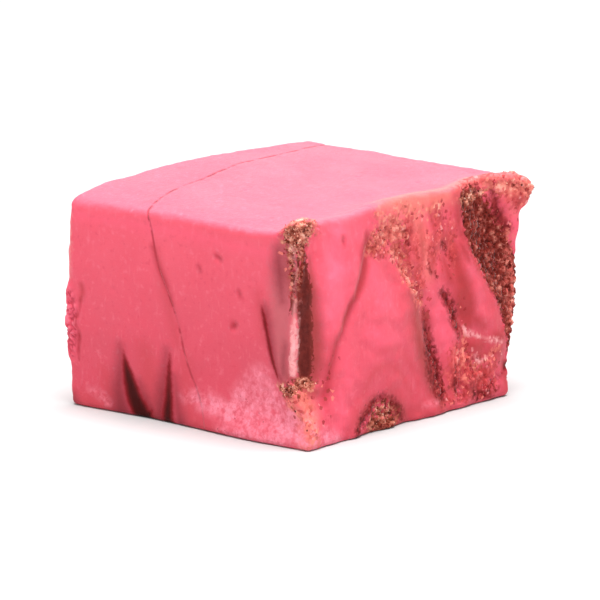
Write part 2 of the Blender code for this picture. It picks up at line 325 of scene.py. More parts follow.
# Strokes of each finish on each face, as (softness of the edge in millimetres, stops).
# A stop is (first place, second place, half width), and the line between stops is curved.
STROKES = {
    # The corner ribbon and the dark band of chocolate.
    ("cocoa", "swirl"): (
        (0.15, (0.7, 21.4, 0.4), (0.75, 20, 0.8), (0.85, 18.2, 1.05), (0.9, 16.4, 1.1),
         (1.15, 14.6, 1), (1.4, 13, 0.9), (1.45, 11, 0.9), (1.5, 9.2, 0.85), (1.4, 8, 0.75),
         (1.3, 7.2, 0.4)),
        (0.3, (26.9, 22.4, 1.1), (27.9, 21.6, 1.6), (28.8, 20, 2.15), (29.8, 18.4, 2.3),
         (31, 16.8, 2.4), (32.1, 15, 2.4), (33, 13, 2.1), (33.8, 10.6, 1.6), (34.5, 8.2, 1.1),
         (35, 5.4, 0.6)),
    ),
    ("cocoa", "front"): (
        (0.2, (32.3, 20.6, 0.3), (32.3, 18.4, 0.35), (32.4, 16.4, 0.3), (32.5, 14.8, 0.1)),
    ),
    ("cocoa", "back"): (
        (0.3, (33.4, 11.6, 3.4), (30.2, 13.4, 2.4), (26, 15, 1.3), (21, 17, 0.4),
         (17, 18.6, 0.1)),
    ),
    ("cocoa", "under"): (
        (0.2, (33, 12.4, 2.2), (28.5, 13.6, 1.5), (23.6, 12.8, 0.8), (19, 9.6, 0.1)),
    ),
    # Wedges and lines of smooth chocolate, darkest in the middle.
    ("wedge", "front"): (
        (0.55, (7.4, 7.6, 0.05), (7.55, 6.2, 0.4), (7.8, 4.9, 0.75), (8.2, 3.5, 1),
         (8.7, 2, 1.15), (9.3, 0.9, 1.3), (9.9, -0.6, 1.5)),
        (0.6, (13.75, 8, 0.1), (13.65, 6.4, 0.35), (13.55, 4.8, 0.52), (13.4, 2.8, 0.7),
         (13.2, 1, 0.9), (13.2, -0.6, 1)),
        (0.45, (26.9, 15.6, 0.05), (27.2, 14.2, 0.32), (27.6, 12, 0.34), (27.9, 10.2, 0.36),
         (28.3, 8.8, 0.34), (28.9, 7.6, 0.15)),
    ),
    ("wedge", "back"): (
        (0.4, (32.6, 3.2, 0.5), (28.4, 5.4, 1), (24, 4.4, 0.9), (20.6, 1.6, 0.8),
         (19, -0.6, 0.7)),
    ),
    ("wedge", "foot"): (
        (0.4, (9.2, -0.6, 1.1), (8.6, 1.8, 0.7), (7.9, 3.8, 0.35), (7.6, 5.6, 0.05)),
        (0.5, (24, -0.6, 0.8), (24.7, 2.6, 0.5), (25, 5, 0.25), (25.2, 7.4, 0.05)),
    ),
    ("wedge", "under"): (
        (0.4, (9.9, -0.6, 1.3), (9.5, 5, 1.1), (8.8, 11, 0.7), (8.2, 17, 0.3), (8, 21, 0.05)),
        (0.4, (-0.6, 9.2, 1.2), (2, 9.5, 0.7), (4.6, 10.2, 0.3), (6.4, 11, 0.05)),
        (0.4, (-0.6, 24, 1), (2.2, 23.5, 0.6), (4.4, 22.8, 0.05)),
        (0.4, (19.1, 35.6, 0.9), (18.6, 33, 0.6), (17.6, 30, 0.05)),
    ),
    # Thinner chocolate, reddened by the fudge around it.
    ("russet", "swirl"): (
        (0.6, (7.2, 0.2, 0.3), (8, 1.5, 0.55), (9.3, 2.6, 0.6), (10.7, 3.4, 0.55),
         (11.8, 3.8, 0.4)),
        (0.8, (11.4, 3.8, 0.35), (12.8, 3.4, 0.5), (14.2, 2.5, 0.6), (15.8, 0.9, 0.5)),
        (0.5, (20.1, 11.8, 0.3), (20.4, 9.8, 0.65), (20.6, 8.2, 0.95), (20.9, 6.6, 1.2),
         (21.3, 5.2, 1.4), (21.9, 3.6, 1.2), (22.6, 2.1, 0.8), (23.2, 1, 0.3)),
        (0.6, (22.9, 13.6, 0.3), (23.7, 12.7, 0.65), (24.4, 11.5, 0.65), (24.9, 10.4, 0.65),
         (25.4, 9.2, 0.5), (25.9, 8, 0.3)),
        (0.8, (27.6, 2.6, 0.2), (29, 1.3, 0.5), (31, 0.8, 0.5), (32.4, 1, 0.2)),
        (0.4, (15.9, 21.4, 0.1), (16.6, 21.1, 0.35), (17.1, 20.5, 0.35), (17.5, 19.6, 0.15)),
        (0.6, (20.6, 16.6, 0.1), (21.3, 16, 0.2), (22, 15.4, 0.1)),
        (0.5, (23, 19, 0.1), (23.3, 18.5, 0.35), (23.8, 17.8, 0.1)),
        (0.5, (30.3, 23.6, 0.15), (30.8, 22.4, 0.35), (31.4, 21, 0.45), (32.2, 19.6, 0.6),
         (33.2, 18.4, 0.5)),
        (0.5, (25.2, 4.6, 0.1), (25, 3.4, 0.35), (25.3, 2, 0.3)),
    ),
    # Crumbs of sugar and chocolate on the lumps at the corner, brown to cream.
    ("crust", "swirl"): (
        (0.3, (-0.2, 22.7, 1.5), (0.9, 22.7, 1.3), (1.9, 22.9, 0.75)),
        (0.5, (0.1, 21, 0.4), (-0.1, 19.6, 0.2), (-0.1, 18.2, 0.05)),
        (0.6, (26.2, 22.4, 0.3), (27.4, 22.2, 0.5), (28.8, 22.4, 0.4), (30, 22.6, 0.1)),
        (0.4, (-0.1, 7, 0.75), (1, 7.3, 0.7), (2, 7.1, 0.5)),
        (1.3, (9.8, 0.3, 0.3), (11.2, 1.4, 0.8), (12.6, 2, 0.9), (14.4, 1, 0.7)),
    ),
    ("crust", "front"): (
        (0.3, (31.5, 22.7, 0.9), (32.6, 22.6, 1.4)),
        (0.6, (31.7, 21.4, 0.6), (31.5, 19.8, 0.4), (31.6, 18, 0.2), (31.8, 16.8, 0.1)),
        (0.6, (28.9, 6.8, 0.3), (29.8, 6.3, 0.5), (30.9, 6.5, 0.7), (31.8, 6.8, 0.7),
         (32.5, 6.9, 0.8)),
    ),
    # Grains of sugar over chocolate, salmon to tan.
    ("gilt", "swirl"): (
        (0.9, (12.4, 23.2, 0.1), (13.2, 22.4, 0.4), (14, 21.4, 0.5)),
        (1, (15.4, 22.8, 0.2), (17.6, 22.6, 0.35), (20.2, 22.3, 0.25), (22.6, 22.4, 0.1)),
        (0.8, (11.4, 20.2, 0.4), (12.4, 20.6, 0.9), (13.8, 21, 1.2), (15.2, 21, 1.2),
         (16.4, 20.4, 0.7)),
        (0.8, (15.4, 19.4, 0.7), (16.4, 18.2, 0.8), (16.8, 16.8, 0.7), (17.6, 15.4, 0.5),
         (18.7, 14, 0.35), (19.5, 12.6, 0.2)),
        (0.8, (30.2, 22.9, 0.2), (32.2, 22.7, 0.5), (33.8, 22.4, 0.6), (35, 22, 0.7)),
        (0.8, (0.8, 5.6, 0.4), (1, 4.4, 0.3), (0.6, 3, 0.1)),
        (0.9, (33.4, 17.8, 0.1), (34, 14, 0.3), (34.4, 10, 0.35), (35, 6, 0.1)),
        (0.8, (26.6, 8.2, 0.1), (26.8, 6.4, 0.15), (26.6, 4.6, 0.15), (27.2, 3, 0.05)),
        (0.8, (27.6, 5.2, 0.1), (28.6, 4.4, 0.25), (30.6, 4.8, 0.15), (32.4, 5.8, 0.1)),
    ),
    ("gilt", "front"): (
        (0.8, (30.4, 5.2, 0.3), (31.6, 4.6, 0.5), (32.4, 3, 0.3), (32.5, 1, 0.2)),
    ),
    ("gilt", "top"): (
        (0.5, (31.5, 0.6, 1), (31.6, 2, 1), (32.2, 2.8, 0.6)),
        (0.8, (32, 33, 0.2), (31.7, 34.8, 0.6)),
    ),
    ("gilt", "back"): (
        (0.8, (32.3, 22.9, 0.9), (31.3, 22, 0.4)),
    ),
    # Brick-red grains.
    ("ruddy", "swirl"): (
        (0.7, (17.4, 21.8, 0.3), (17.4, 20.4, 0.7), (17.4, 19, 0.6), (18.2, 17.2, 0.3)),
        (0.7, (9.6, 0.4, 0.6), (11.6, 1.2, 1.2), (13.6, 0.9, 1), (14.8, 0.4, 0.5)),
        (0.9, (21.8, 21.6, 0.4), (22.4, 19.6, 0.6), (22, 17.6, 0.5)),
        (0.8, (20.6, 19.8, 0.3), (21, 18.2, 0.5), (20.8, 17, 0.1)),
        (0.9, (24.2, 21, 0.3), (24.8, 19, 0.5), (24.6, 17, 0.5)),
        (0.8, (29.4, 23, 0.3), (31.2, 23, 0.4), (33, 22.8, 0.3), (34.9, 22, 0.2)),
        (0.7, (11, 20.4, 0.4), (12.4, 19.6, 0.5), (14.2, 19.4, 0.4)),
        (0.8, (28, 17.6, 0.3), (28.9, 16.2, 0.6), (30, 14.8, 0.3)),
        (1, (26.4, 1.4, 0.6), (29.6, 1.6, 0.9), (32, 1.8, 0.7)),
        (1, (26.4, 5.6, 0.5), (27.6, 3.6, 0.8), (30.4, 3.2, 0.7), (32.2, 4.2, 0.4)),
        (0.8, (17.6, 21.4, 0.5), (18.6, 19.6, 0.4), (19, 17.4, 0.3), (19.6, 15, 0.3)),
        (0.5, (22.9, 3.2, 0.3), (23.6, 2, 0.5), (24.4, 1.2, 0.3)),
        (0.7, (24.8, 7.4, 0.3), (25, 5.6, 1.3), (25, 3.6, 1), (25.4, 1.6, 0.4)),
        (0.8, (31.4, 22.8, 0.4), (32.8, 21.9, 0.8), (33.9, 20.8, 0.5)),
        (0.6, (29.6, 22.4, 0.2), (30.6, 20.4, 0.4), (31.6, 18.6, 0.5), (32.6, 16.6, 0.2)),
    ),
    ("ruddy", "top"): (
        (0.8, (32.2, 33.4, 0.4), (31.6, 34.6, 0.4)),
        (0.7, (32.4, 25.6, 0.2), (32.1, 28.4, 0.5), (31.8, 31.4, 0.5), (31.6, 34, 0.5)),
    ),
    # Soft brown shading beside the bands.
    ("umber", "swirl"): (
        (1, (17.4, 14.4, 0.3), (18.3, 13, 0.8), (18.7, 11.4, 1.2), (19, 9.4, 1.3),
         (19.5, 7.4, 1.3), (20.3, 5.2, 1.2), (21.4, 3, 0.9), (22.5, 1.2, 0.5)),
        (0.5, (1.9, 20.4, 0.2), (2, 18.6, 0.45), (2.2, 15.6, 0.65), (2.5, 12.6, 0.8),
         (2.5, 10, 0.75), (2.3, 7.8, 0.5)),
        (0.8, (0.4, 8, 0.3), (1.6, 6.6, 0.6), (2.4, 6.2, 0.3)),
        (0.8, (11.2, 21, 0.3), (11.6, 20.2, 0.5), (12.8, 19.6, 0.4)),
        (0.8, (16, 19.4, 0.2), (16.8, 18.8, 0.4), (17.4, 20.6, 0.3), (17.6, 21.6, 0.1)),
        (0.7, (32.5, 22.6, 0.3), (33.2, 22.1, 0.6), (33.7, 21.2, 0.4)),
        (1, (13.4, 3.6, 0.4), (14.8, 2.4, 0.6), (15.9, 0.6, 0.6)),
        (0.7, (25.2, 23, 0.1), (25.7, 22.3, 0.4), (26.1, 21, 0.3)),
        (0.8, (17.6, 17.4, 0.3), (18.6, 15.6, 0.4), (19.4, 13.8, 0.5), (18.6, 12, 0.4)),
        (0.7, (33, 22.2, 0.1), (33.6, 21.5, 0.4), (34.2, 21, 0.2)),
        (1, (7.6, 0.6, 0.2), (8.2, 2.2, 0.3), (9.6, 3.4, 0.3), (10.8, 4, 0.2)),
    ),
    ("umber", "front"): (
        (0.8, (31.4, 21.6, 0.2), (31.2, 19.6, 0.35), (31.4, 17.6, 0.2)),
        (0.6, (9.6, 1.6, 0.2), (10.4, 0.4, 0.5), (10.8, -0.4, 0.6)),
    ),
    # Crimson and brick-red bands.
    ("brick", "swirl"): (
        (0.7, (23.4, 19.8, 0.2), (24.2, 18.8, 0.6), (24.9, 17.6, 0.9), (25.3, 16.2, 0.9),
         (25.7, 15, 1), (26, 14, 1.1), (26.4, 12.4, 1.4), (26.8, 11, 1.5), (27.1, 9.9, 1.1),
         (27.6, 9, 0.4)),
        (0.7, (26.4, 19.4, 0.2), (27.6, 17.2, 0.4), (28.5, 15.6, 0.5), (29.8, 13.9, 0.4),
         (31.2, 12, 0.2)),
        (1.2, (26.2, 6, 0.4), (27.4, 4, 0.8), (28.8, 3, 1.2), (30.2, 3, 1.1), (31.6, 3.2, 0.5)),
        (0.6, (21.2, 21.8, 0.25), (21.7, 19.8, 0.4), (21.8, 18.2, 0.35), (21.2, 16.4, 0.3)),
        (0.6, (22.8, 21.6, 0.2), (23, 20, 0.4), (23, 18.6, 0.3)),
        (0.9, (21.8, 22.4, 0.3), (22.4, 21.2, 0.6), (22.8, 19.8, 0.3)),
        (0.8, (23.4, 16.8, 0.3), (24.1, 15.2, 0.6), (24.6, 14.2, 0.2)),
        (0.7, (26, 18.2, 0.2), (27, 16.7, 0.5), (27.6, 15.8, 0.2)),
        (0.6, (19.4, 20.6, 0.1), (19.6, 18.6, 0.25), (19.2, 16.8, 0.1)),
        (0.6, (25.4, 21.6, 0.1), (25.9, 20, 0.25), (26.6, 18.4, 0.15)),
        (0.9, (27.4, 18.4, 0.2), (28.2, 16.6, 0.6), (29.4, 15, 0.4)),
        (0.9, (26.8, 10.4, 0.6), (28.2, 9.6, 0.6), (29.6, 8.6, 0.3)),
        (1, (25, 6.4, 0.5), (27.2, 6.8, 1), (29.4, 6.2, 0.7)),
        (0.9, (31.6, 7.2, 0.2), (32.6, 6.9, 0.6), (33.6, 6.6, 0.3)),
        (0.9, (26.4, 5, 0.4), (26.3, 3.2, 0.8), (27.4, 2, 0.6)),
        (1, (33.6, 4, 0.3), (34.2, 2.4, 0.6), (34.4, 1, 0.4)),
        (0.6, (24.6, 11.4, 0.6), (25.3, 9.8, 0.7), (26, 8.2, 0.4)),
        (0.5, (24.6, 6.2, 0.4), (25, 5.1, 0.9), (25.2, 4.2, 0.6)),
        (0.5, (10.9, 19.8, 0.1), (10.8, 19, 0.35), (10.5, 18.3, 0.35), (10.1, 17.4, 0.3),
         (9.7, 16.6, 0.3), (8.8, 15.9, 0.3), (8, 15.3, 0.15), (7.4, 14.3, 0.25), (6.8, 13.3, 0.3),
         (6, 12.6, 0.15)),
        (0.9, (27, 5.2, 0.3), (29, 5.4, 0.6), (31, 5.2, 0.5), (33, 5, 0.5)),
        (0.5, (20.2, 12, 0.15), (20.7, 11, 0.3), (21.1, 9.8, 0.15)),
        (0.5, (18.2, 21.6, 0.12), (18, 20.6, 0.3), (18.6, 19, 0.2), (18.4, 17.6, 0.1)),
        (0.7, (31.2, 21.2, 0.3), (32.2, 19.8, 0.6), (33.2, 18.4, 0.5)),
    ),
    ("brick", "front"): (
        (0.3, (1.9, 14.5, 0.1), (2.2, 13.6, 0.14), (2.1, 12.6, 0.06)),
    ),
    # Cracks behind the flakes at the foot of the slab, sunk into it, with painted shade in them.
    ("crack", "front"): (
        (0.2, (2.1, 13, 0.02), (2, 12.2, 0.1), (1.9, 11.4, 0.04)),
        (0.2, (1.8, 11.2, 0.04), (1.55, 10.5, 0.2), (1.5, 9.9, 0.16), (1.7, 9.3, 0.04)),
        (0.2, (1.9, 9.1, 0.06), (1.8, 8.4, 0.2), (1.7, 7.6, 0.2), (1.65, 6.6, 0.18),
         (1.5, 5.4, 0.03)),
    ),
    ("crack", "foot"): (
        (0.1, (0.4, 11.3, 0.1), (1.2, 11, 0.12), (2, 11.6, 0.04)),
        (0.1, (0.4, 8, 0.1), (1.3, 7.7, 0.12), (2.4, 8.2, 0.04)),
    ),
    # Where the foot of the slab breaks into flakes.
    ("flake", "front"): (
        (0.5, (0.6, 14, 0.3), (0.8, 12.4, 0.8), (0.8, 10, 1), (0.8, 7.8, 0.9), (0.7, 5.8, 0.4)),
    ),
    ("flake", "foot"): (
        (0.6, (0.4, 13.8, 0.4), (0.8, 11.6, 1.1), (1, 8.6, 1.3), (0.6, 6, 0.6)),
    ),
    # Darker pink lines.
    ("rose", "swirl"): (
        (0.5, (10.9, 21.4, 0.35), (10.3, 20, 0.6), (10, 18.6, 0.66), (9.6, 17.4, 0.6),
         (9, 16.3, 0.5), (8.1, 15.2, 0.48), (7.3, 14.2, 0.46), (6.7, 13.2, 0.38),
         (6.2, 12.2, 0.34), (5.3, 11.4, 0.4), (4.7, 10.2, 0.5), (4.2, 9, 0.5), (3.9, 7.8, 0.34),
         (3.6, 6.2, 0.24), (3.2, 4.8, 0.12)),
        (0.4, (6.9, 22, 0.1), (7, 21.4, 0.15)),
    ),
    ("rose", "front"): (
        (0.6, (12, 20.2, 0.1), (12.9, 18, 0.2), (13.9, 15.9, 0.2), (14.5, 13.8, 0.05)),
        (0.3, (21.1, 20.4, 0.15), (21.7, 20.1, 0.2)),
        (0.3, (22.5, 12.4, 0.1), (22.9, 12.8, 0.3), (23.3, 13, 0.15)),
        (0.4, (18.5, 18.8, 0.1), (18.7, 18.3, 0.1)),
        (0.4, (24, 16.8, 0.1), (24.1, 16.2, 0.1)),
    ),
    # Muted pink around the drawn lines, and painted shade along the foot of the cuts.
    ("muted", "swirl"): (
        (1.2, (5.4, 11.6, 0.3), (4.6, 9.2, 0.6), (4, 7, 0.5), (3.4, 5.6, 0.2)),
        (0.7, (8.8, 4.4, 0.1), (10, 6.4, 0.4), (11.5, 7.2, 0.5), (13, 7.1, 0.5),
         (14.6, 6.4, 0.55), (15.8, 5.3, 0.55), (17, 3.5, 0.5), (17.8, 1.8, 0.3)),
        (0.8, (11.2, 8.8, 0.1), (13, 9, 0.3), (15, 8.4, 0.4), (16.8, 7, 0.4), (18, 5, 0.3),
         (18.8, 3, 0.2)),
        (1.6, (13.4, 5.2, 0.4), (16, 3, 0.6)),
        (1.4, (19.6, 21, 0.5), (20.8, 17.6, 0.6), (22.8, 15.6, 0.9), (24.4, 20.6, 0.8)),
        (1.2, (21.8, 22.8, 0.8), (24.2, 22.4, 1), (25.4, 20.4, 0.9), (26.4, 18, 1.3),
         (24.8, 16, 1.5), (25.8, 13.8, 1.2), (28.2, 13.6, 0.8)),
        (1.6, (13.8, 18, 0.3), (16, 17.4, 1.2), (16.4, 14.8, 1.1), (16.8, 12, 0.7),
         (17, 9.4, 0.3)),
        (1, (22.6, 5.2, 0.7), (23.8, 3.6, 0.9), (24.6, 2, 0.8)),
        (1.2, (6.4, 0.8, 0.3), (7, 2.6, 0.4), (8.2, 4, 0.2)),
        (1.2, (15.8, 1.4, 1), (18.4, 0.8, 1.5), (21.2, 1, 1.6), (24, 0.4, 1)),
        (1.2, (29.4, 6.6, 0.9), (31.2, 7, 1.3), (33.4, 7.2, 1.4)),
        (1.2, (29, 13, 0.5), (30.4, 11.6, 0.8), (32.2, 8.6, 1.1)),
    ),
    ("muted", "front"): (
        (1.4, (10.4, 8, 0.8), (10.8, 5.4, 1.4), (11, 3.4, 1.6), (11.2, 1, 1.6)),
        (1.2, (4.6, 4.6, 0.4), (5.2, 2.2, 1), (4.6, 0.6, 1.7), (1.6, 0.4, 1.5), (0.2, 0.2, 1.2)),
        (1.4, (15.8, 7.6, 0.4), (15.8, 4.6, 0.8), (16.4, 1.4, 1.1), (18.4, 0.4, 1.1),
         (20.4, -0.2, 0.6)),
        (1.2, (26.6, 16.8, 0.3), (26.8, 14, 0.5), (26.9, 12, 0.3)),
        (1, (12.5, 20, 0.2), (13.3, 16, 0.4), (14.3, 12, 0.4), (15, 9, 0.2)),
    ),
    # Bright pink on the swells and along the top and left edges of the front: partly a brighter
    # pink in the fudge, partly painted highlight where the light catches them.
    ("glow", "swirl"): (
        (2, (11.6, 17.4, 0.1), (12.2, 15.8, 0.2), (12.6, 14.2, 0.1)),
        (2.4, (6.6, 19.8, 0.9), (6, 16, 0.8), (4.6, 13.4, 0.2)),
        (2, (5.6, 9.6, 0.3), (6.4, 7.6, 0.5), (6.6, 5.8, 0.2)),
        (2.2, (10.6, 11.4, 0.5), (12.2, 9.8, 1), (14.6, 9.6, 0.4)),
        (1.2, (22.4, 11.2, 0.2), (23, 9.4, 0.5), (23.8, 7.6, 0.2)),
        (0.8, (33, 20.2, 0.3), (34.2, 18.8, 0.8), (34.8, 16.8, 0.3)),
        (1.2, (5, 5.6, 0.4), (5.2, 3.6, 0.8), (4.6, 1.4, 0.8)),
        (0.9, (31, 23.2, 0.2), (32.4, 21.4, 0.5), (34.4, 21.2, 0.7)),
    ),
    ("glow", "front"): (
        (0.9, (1, 22.6, 0.3), (8, 22.5, 0.5), (18, 22.2, 0.5), (28.4, 21.6, 0.3)),
        (0.4, (0.3, 14.2, 0.3), (0.8, 12.6, 0.5), (0.7, 10, 0.5), (0.9, 7.2, 0.45),
         (0.6, 5.6, 0.2)),
    ),
    # Pale pink with a blue cast, where the pour is thickest.
    ("blush", "swirl"): (
        (1.4, (6.2, 22.4, 0.4), (5.2, 20, 1), (5, 17.4, 1.2), (4.4, 14.6, 0.5)),
        (0.9, (27.2, 17, 0.1), (28, 15.2, 0.4), (28.7, 13.4, 0.3), (29.6, 11.8, 0.1)),
    ),
    # Mauve shadows of chocolate just under the surface.
    ("mauve", "front"): (
        (1.2, (30.4, 21.6, 0.9), (30.2, 19.6, 1.3), (30.1, 17.4, 1.7), (30, 15, 1.9),
         (30.1, 13, 1.8), (30.3, 10.6, 1.7), (30.5, 8.8, 1.4), (30.8, 7.8, 0.8)),
    ),
    # The darker blur beside the wedges, where the chocolate runs under the surface.
    ("shadow", "front"): (
        (1, (7, 8, 0.05), (6.8, 5, 0.55), (6.6, 2.8, 0.95), (7, 0.4, 1.4)),
        (1, (9.4, 4, 0.1), (10.3, 1.6, 0.8), (11.2, 0, 1.3)),
        (1, (13.3, 8.4, 0.05), (12.9, 5.2, 0.5), (12.5, 3, 0.8), (12.2, 0.4, 1.1)),
        (1, (14.4, 5.6, 0.05), (14.6, 2.8, 0.3), (15, 0.4, 0.7)),
        (0.9, (27.4, 15.4, 0.2), (27.9, 13, 0.5), (28.3, 10.6, 0.35), (28.8, 8.4, 0.4),
         (29.6, 7.6, 0.4)),
        (1.2, (30.8, 11.4, 0.1), (30.6, 9.6, 0.5), (30.2, 8.4, 0.4)),
        (0.8, (0.3, 1, 0.4), (0.5, 0, 0.4)),
        (1, (29.9, 22, 0.2), (29.8, 20.4, 0.5), (29.9, 18.4, 0.45), (30.1, 16.4, 0.1)),
    ),
    # Pale, speckled sugar bloom; along the very foot of the front it is also painted light,
    # lifting the shade there.
    ("bloom", "front"): (
        (1.2, (16, 3.4, 0.4), (18, 3.4, 0.9), (20.2, 3, 1.1), (22.4, 2.6, 1.5), (24.8, 3.6, 3),
         (27.2, 3.4, 3), (29.6, 2.8, 2.4), (31.8, 2, 2)),
        (1.4, (24.6, 6.6, 0.5), (26.2, 7.6, 0.9), (27.2, 7, 0.7), (28, 5.6, 0.8)),
        # Painted light along the foot of the front, lifting the shade there.
        (1, (23.4, 1.2, 0.6), (27.6, 1.8, 1.9), (30.4, 2.6, 1.8)),
        (0.8, (20.4, 0.6, 0.3), (24, 0.7, 0.9), (28.4, 0.8, 0.9)),
        (0.8, (2.8, 2.2, 0.1), (3.8, 1.9, 0.35), (5, 1, 0.3)),
        (0.8, (31.2, 5, 0.2), (32, 2.8, 0.5), (32.4, 0.6, 0.4)),
    ),
    ("bloom", "swirl"): (
        (1, (0.2, 1.8, 0.5), (1.4, 0.9, 1), (3.2, 0.8, 0.9), (4.4, 0.3, 0.3)),
        (0.5, (19.4, 1.5, 0.1), (20.8, 1.6, 0.22), (22, 1.5, 0.1)),
    ),
    # Salmon to orange stains.
    ("amber", "swirl"): (
        (1, (13.6, 23.4, 0.4), (15.6, 23.4, 0.9), (18, 23.2, 1.1), (20.4, 23.2, 0.8),
         (24, 23.3, 0.5)),
        (2, (18.6, 21.8, 0.8), (19.8, 19, 0.7), (20.4, 16, 0.3)),
        (1, (31.4, 22.9, 0.5), (33.2, 22.6, 1.1), (34.8, 22.2, 1.2)),
        (0.8, (25.4, 23.8, 0.4), (27.6, 23.8, 0.6), (30.6, 23.7, 0.5), (32, 23.6, 0.3)),
        (0.9, (0.6, 5.8, 0.9), (0.9, 4, 0.9), (0.7, 2.4, 0.6), (0.2, 0.4, 0.4)),
    ),
    ("amber", "front"): (
        (0.9, (30.9, 5.2, 0.7), (31.8, 3.2, 0.6), (32.6, 1, 0.5)),
    ),
    ("amber", "top"): (
        (1.2, (31.8, 14, 0.3), (31.6, 19, 0.8), (31.8, 25, 0.4)),
        (0.9, (31.8, 29, 0.2), (31.9, 32, 0.4), (31.4, 34.6, 0.6)),
    ),
    ("amber", "back"): (
        (1.2, (32.4, 22.8, 1.2), (31.4, 20.6, 0.8)),
    ),
    # Dusty pink ridges that catch the light.
    ("ridge", "swirl"): (
        (0.2, (-0.1, 14.4, 0.1), (0.05, 13.2, 0.28), (-0.1, 12, 0.15), (-0.1, 11, 0.1),
         (0.05, 9.8, 0.25), (0.1, 8.4, 0.25)),
    ),
    ("ridge", "front"): (
        (0.4, (32, 21.6, 0.1), (31.9, 19.6, 0.1), (31.9, 17, 0.1), (32.1, 14.4, 0.25),
         (32.2, 11, 0.25), (32.2, 8.6, 0.25)),
        (0.6, (0.1, 22.6, 0.1), (0.2, 19.6, 0.25), (0.1, 15.4, 0.2)),
    ),
    # Painted highlights: the brightest lines of the ridges.
    ("frost", "swirl"): (
        (0.2, (0, 13.8, 0.05), (0, 12, 0.1), (0.05, 10.2, 0.15), (0.1, 8.4, 0.1)),
        (0.3, (26.7, 8.9, 0.02), (27.2, 8.3, 0.12), (28.4, 7.8, 0.02), (30, 7.2, 0.04),
         (31.6, 6.7, 0.04), (32.8, 6.2, 0.01)),
        (0.3, (28.4, 5.4, 0.02), (29.4, 4.8, 0.08), (30.6, 5, 0.02)),
    ),
    ("frost", "front"): (
        (0.2, (32.3, 14.6, 0.02), (32.3, 12, 0.12), (32.3, 9, 0.12)),
    ),
    # Places with single grains strewn over them, thickest in the middle.
    ("strewn", "swirl"): (
        (0.9, (11.4, 21.4, 0.4), (13, 19.6, 0.6), (15.6, 18.8, 0.4), (18, 21.4, 0.7)),
        (0.9, (17.4, 17, 0.8), (18.8, 15.4, 0.9), (20, 13, 0.8), (20.4, 11, 0.5)),
        (1, (20.2, 21.6, 0.3), (20.6, 19.4, 0.5), (20.2, 17.4, 0.3)),
        (1.2, (22.6, 21.6, 0.6), (23.4, 18.6, 0.9), (24.6, 15.6, 0.6)),
        (1, (4.6, 9.4, 0.2), (3.9, 7, 0.5), (3.3, 5, 0.5), (2.8, 3, 0.3)),
        (0.9, (0.6, 5.6, 0.6), (0.8, 4.2, 0.4), (0.8, 2.4, 0.1)),
        (1, (26.4, 8.6, 0.3), (27.2, 6, 0.7), (27.6, 3.4, 0.8), (28.4, 1.4, 0.8), (31, 1.6, 0.8)),
        (1, (29.4, 5.2, 0.4), (31.4, 4.6, 0.6), (33, 3.6, 0.6)),
        (0.8, (22.8, 2.8, 0.5), (24, 1.6, 0.7), (25.4, 1.4, 0.5)),
        (1, (29.8, 23.4, 0.4), (31.6, 23.2, 0.6), (33.4, 22.6, 0.7), (34.8, 21.8, 0.5)),
        (0.7, (25.6, 12.4, 0.3), (26.4, 9.8, 0.4)),
    ),
    ("strewn", "front"): (
        (0.9, (31, 5.6, 0.7), (31.8, 4.2, 0.6), (32.4, 2.8, 0.2)),
        (0.8, (30.6, 21.8, 0.3), (31.2, 19.4, 0.5), (31.5, 16.6, 0.3)),
    ),
    ("strewn", "top"): (
        (0.9, (32.2, 28, 0.3), (31.8, 31, 0.7), (31.6, 34.4, 0.8)),
    ),
    ("strewn", "back"): (
        (1, (31.6, 19, 0.6), (30.6, 17.6, 0.8), (27, 17, 0.6)),
    ),
    # Where the surface is crumbly.
    ("grit", "swirl"): (
        (0.6, (0.6, 23.2, 1.9), (0.8, 22, 1.4), (0.5, 20.4, 0.7), (0.3, 18.6, 0.3),
         (0.2, 17, 0.05)),
        (0.5, (1.9, 23.2, 0.9), (1.8, 22.4, 0.5)),
        (0.5, (0, 6.9, 0.9), (1.1, 7.2, 0.8), (2.1, 7.2, 0.5)),
        (0.4, (27, 22.9, 1), (28.1, 21.6, 1.9), (28.9, 20, 2.4), (29.8, 18.4, 2.6),
         (31, 16.8, 2.7), (32.1, 15, 2.7), (33, 13, 2.4), (33.8, 10.6, 1.9), (34.5, 8.2, 1.4),
         (35, 5.4, 0.9), (35, 2, 0.5)),
        (0.5, (7.6, 0.2, 0.4), (9, 1.3, 0.8), (11, 2.4, 1.4), (12.6, 2.4, 1.3), (14.2, 1, 0.8)),
        (0.8, (20.2, 10, 0.2), (20.8, 8, 0.6), (21.4, 6.5, 0.8), (21.8, 5, 0.8), (22.4, 3.4, 0.7),
         (23, 1.8, 0.5)),
        (0.8, (23.5, 13, 0.3), (24.2, 12.3, 0.5), (24.9, 10.4, 0.6), (25.6, 8.8, 0.5)),
        (0.8, (25.6, 8, 0.4), (25.5, 5, 0.7), (26, 1.4, 0.8)),
        (1, (27.2, 6, 0.4), (28.4, 4, 0.8), (30.8, 2, 1), (33.2, 2.6, 0.7)),
        (0.7, (11.6, 20.5, 0.7), (13.2, 20.9, 1.2), (15.2, 21, 1.4), (16.6, 20.4, 1.1)),
        (0.7, (15.6, 19, 0.8), (16.6, 17.6, 0.8), (17.6, 15.6, 0.7), (18.7, 14.2, 0.6),
         (19.4, 12.8, 0.4)),
        (0.7, (31, 23.3, 0.4), (33, 22.9, 0.7), (34.9, 22.3, 1)),
    ),
    ("grit", "front"): (
        (0.6, (31.9, 23, 1.7), (31.6, 20.6, 0.8), (31.7, 18.2, 0.5), (31.9, 16.2, 0.1)),
        (0.5, (29.2, 6.6, 0.3), (30.3, 6.2, 0.6), (31, 6.6, 0.8), (32.4, 6.9, 0.9)),
    ),
    ("grit", "top"): (
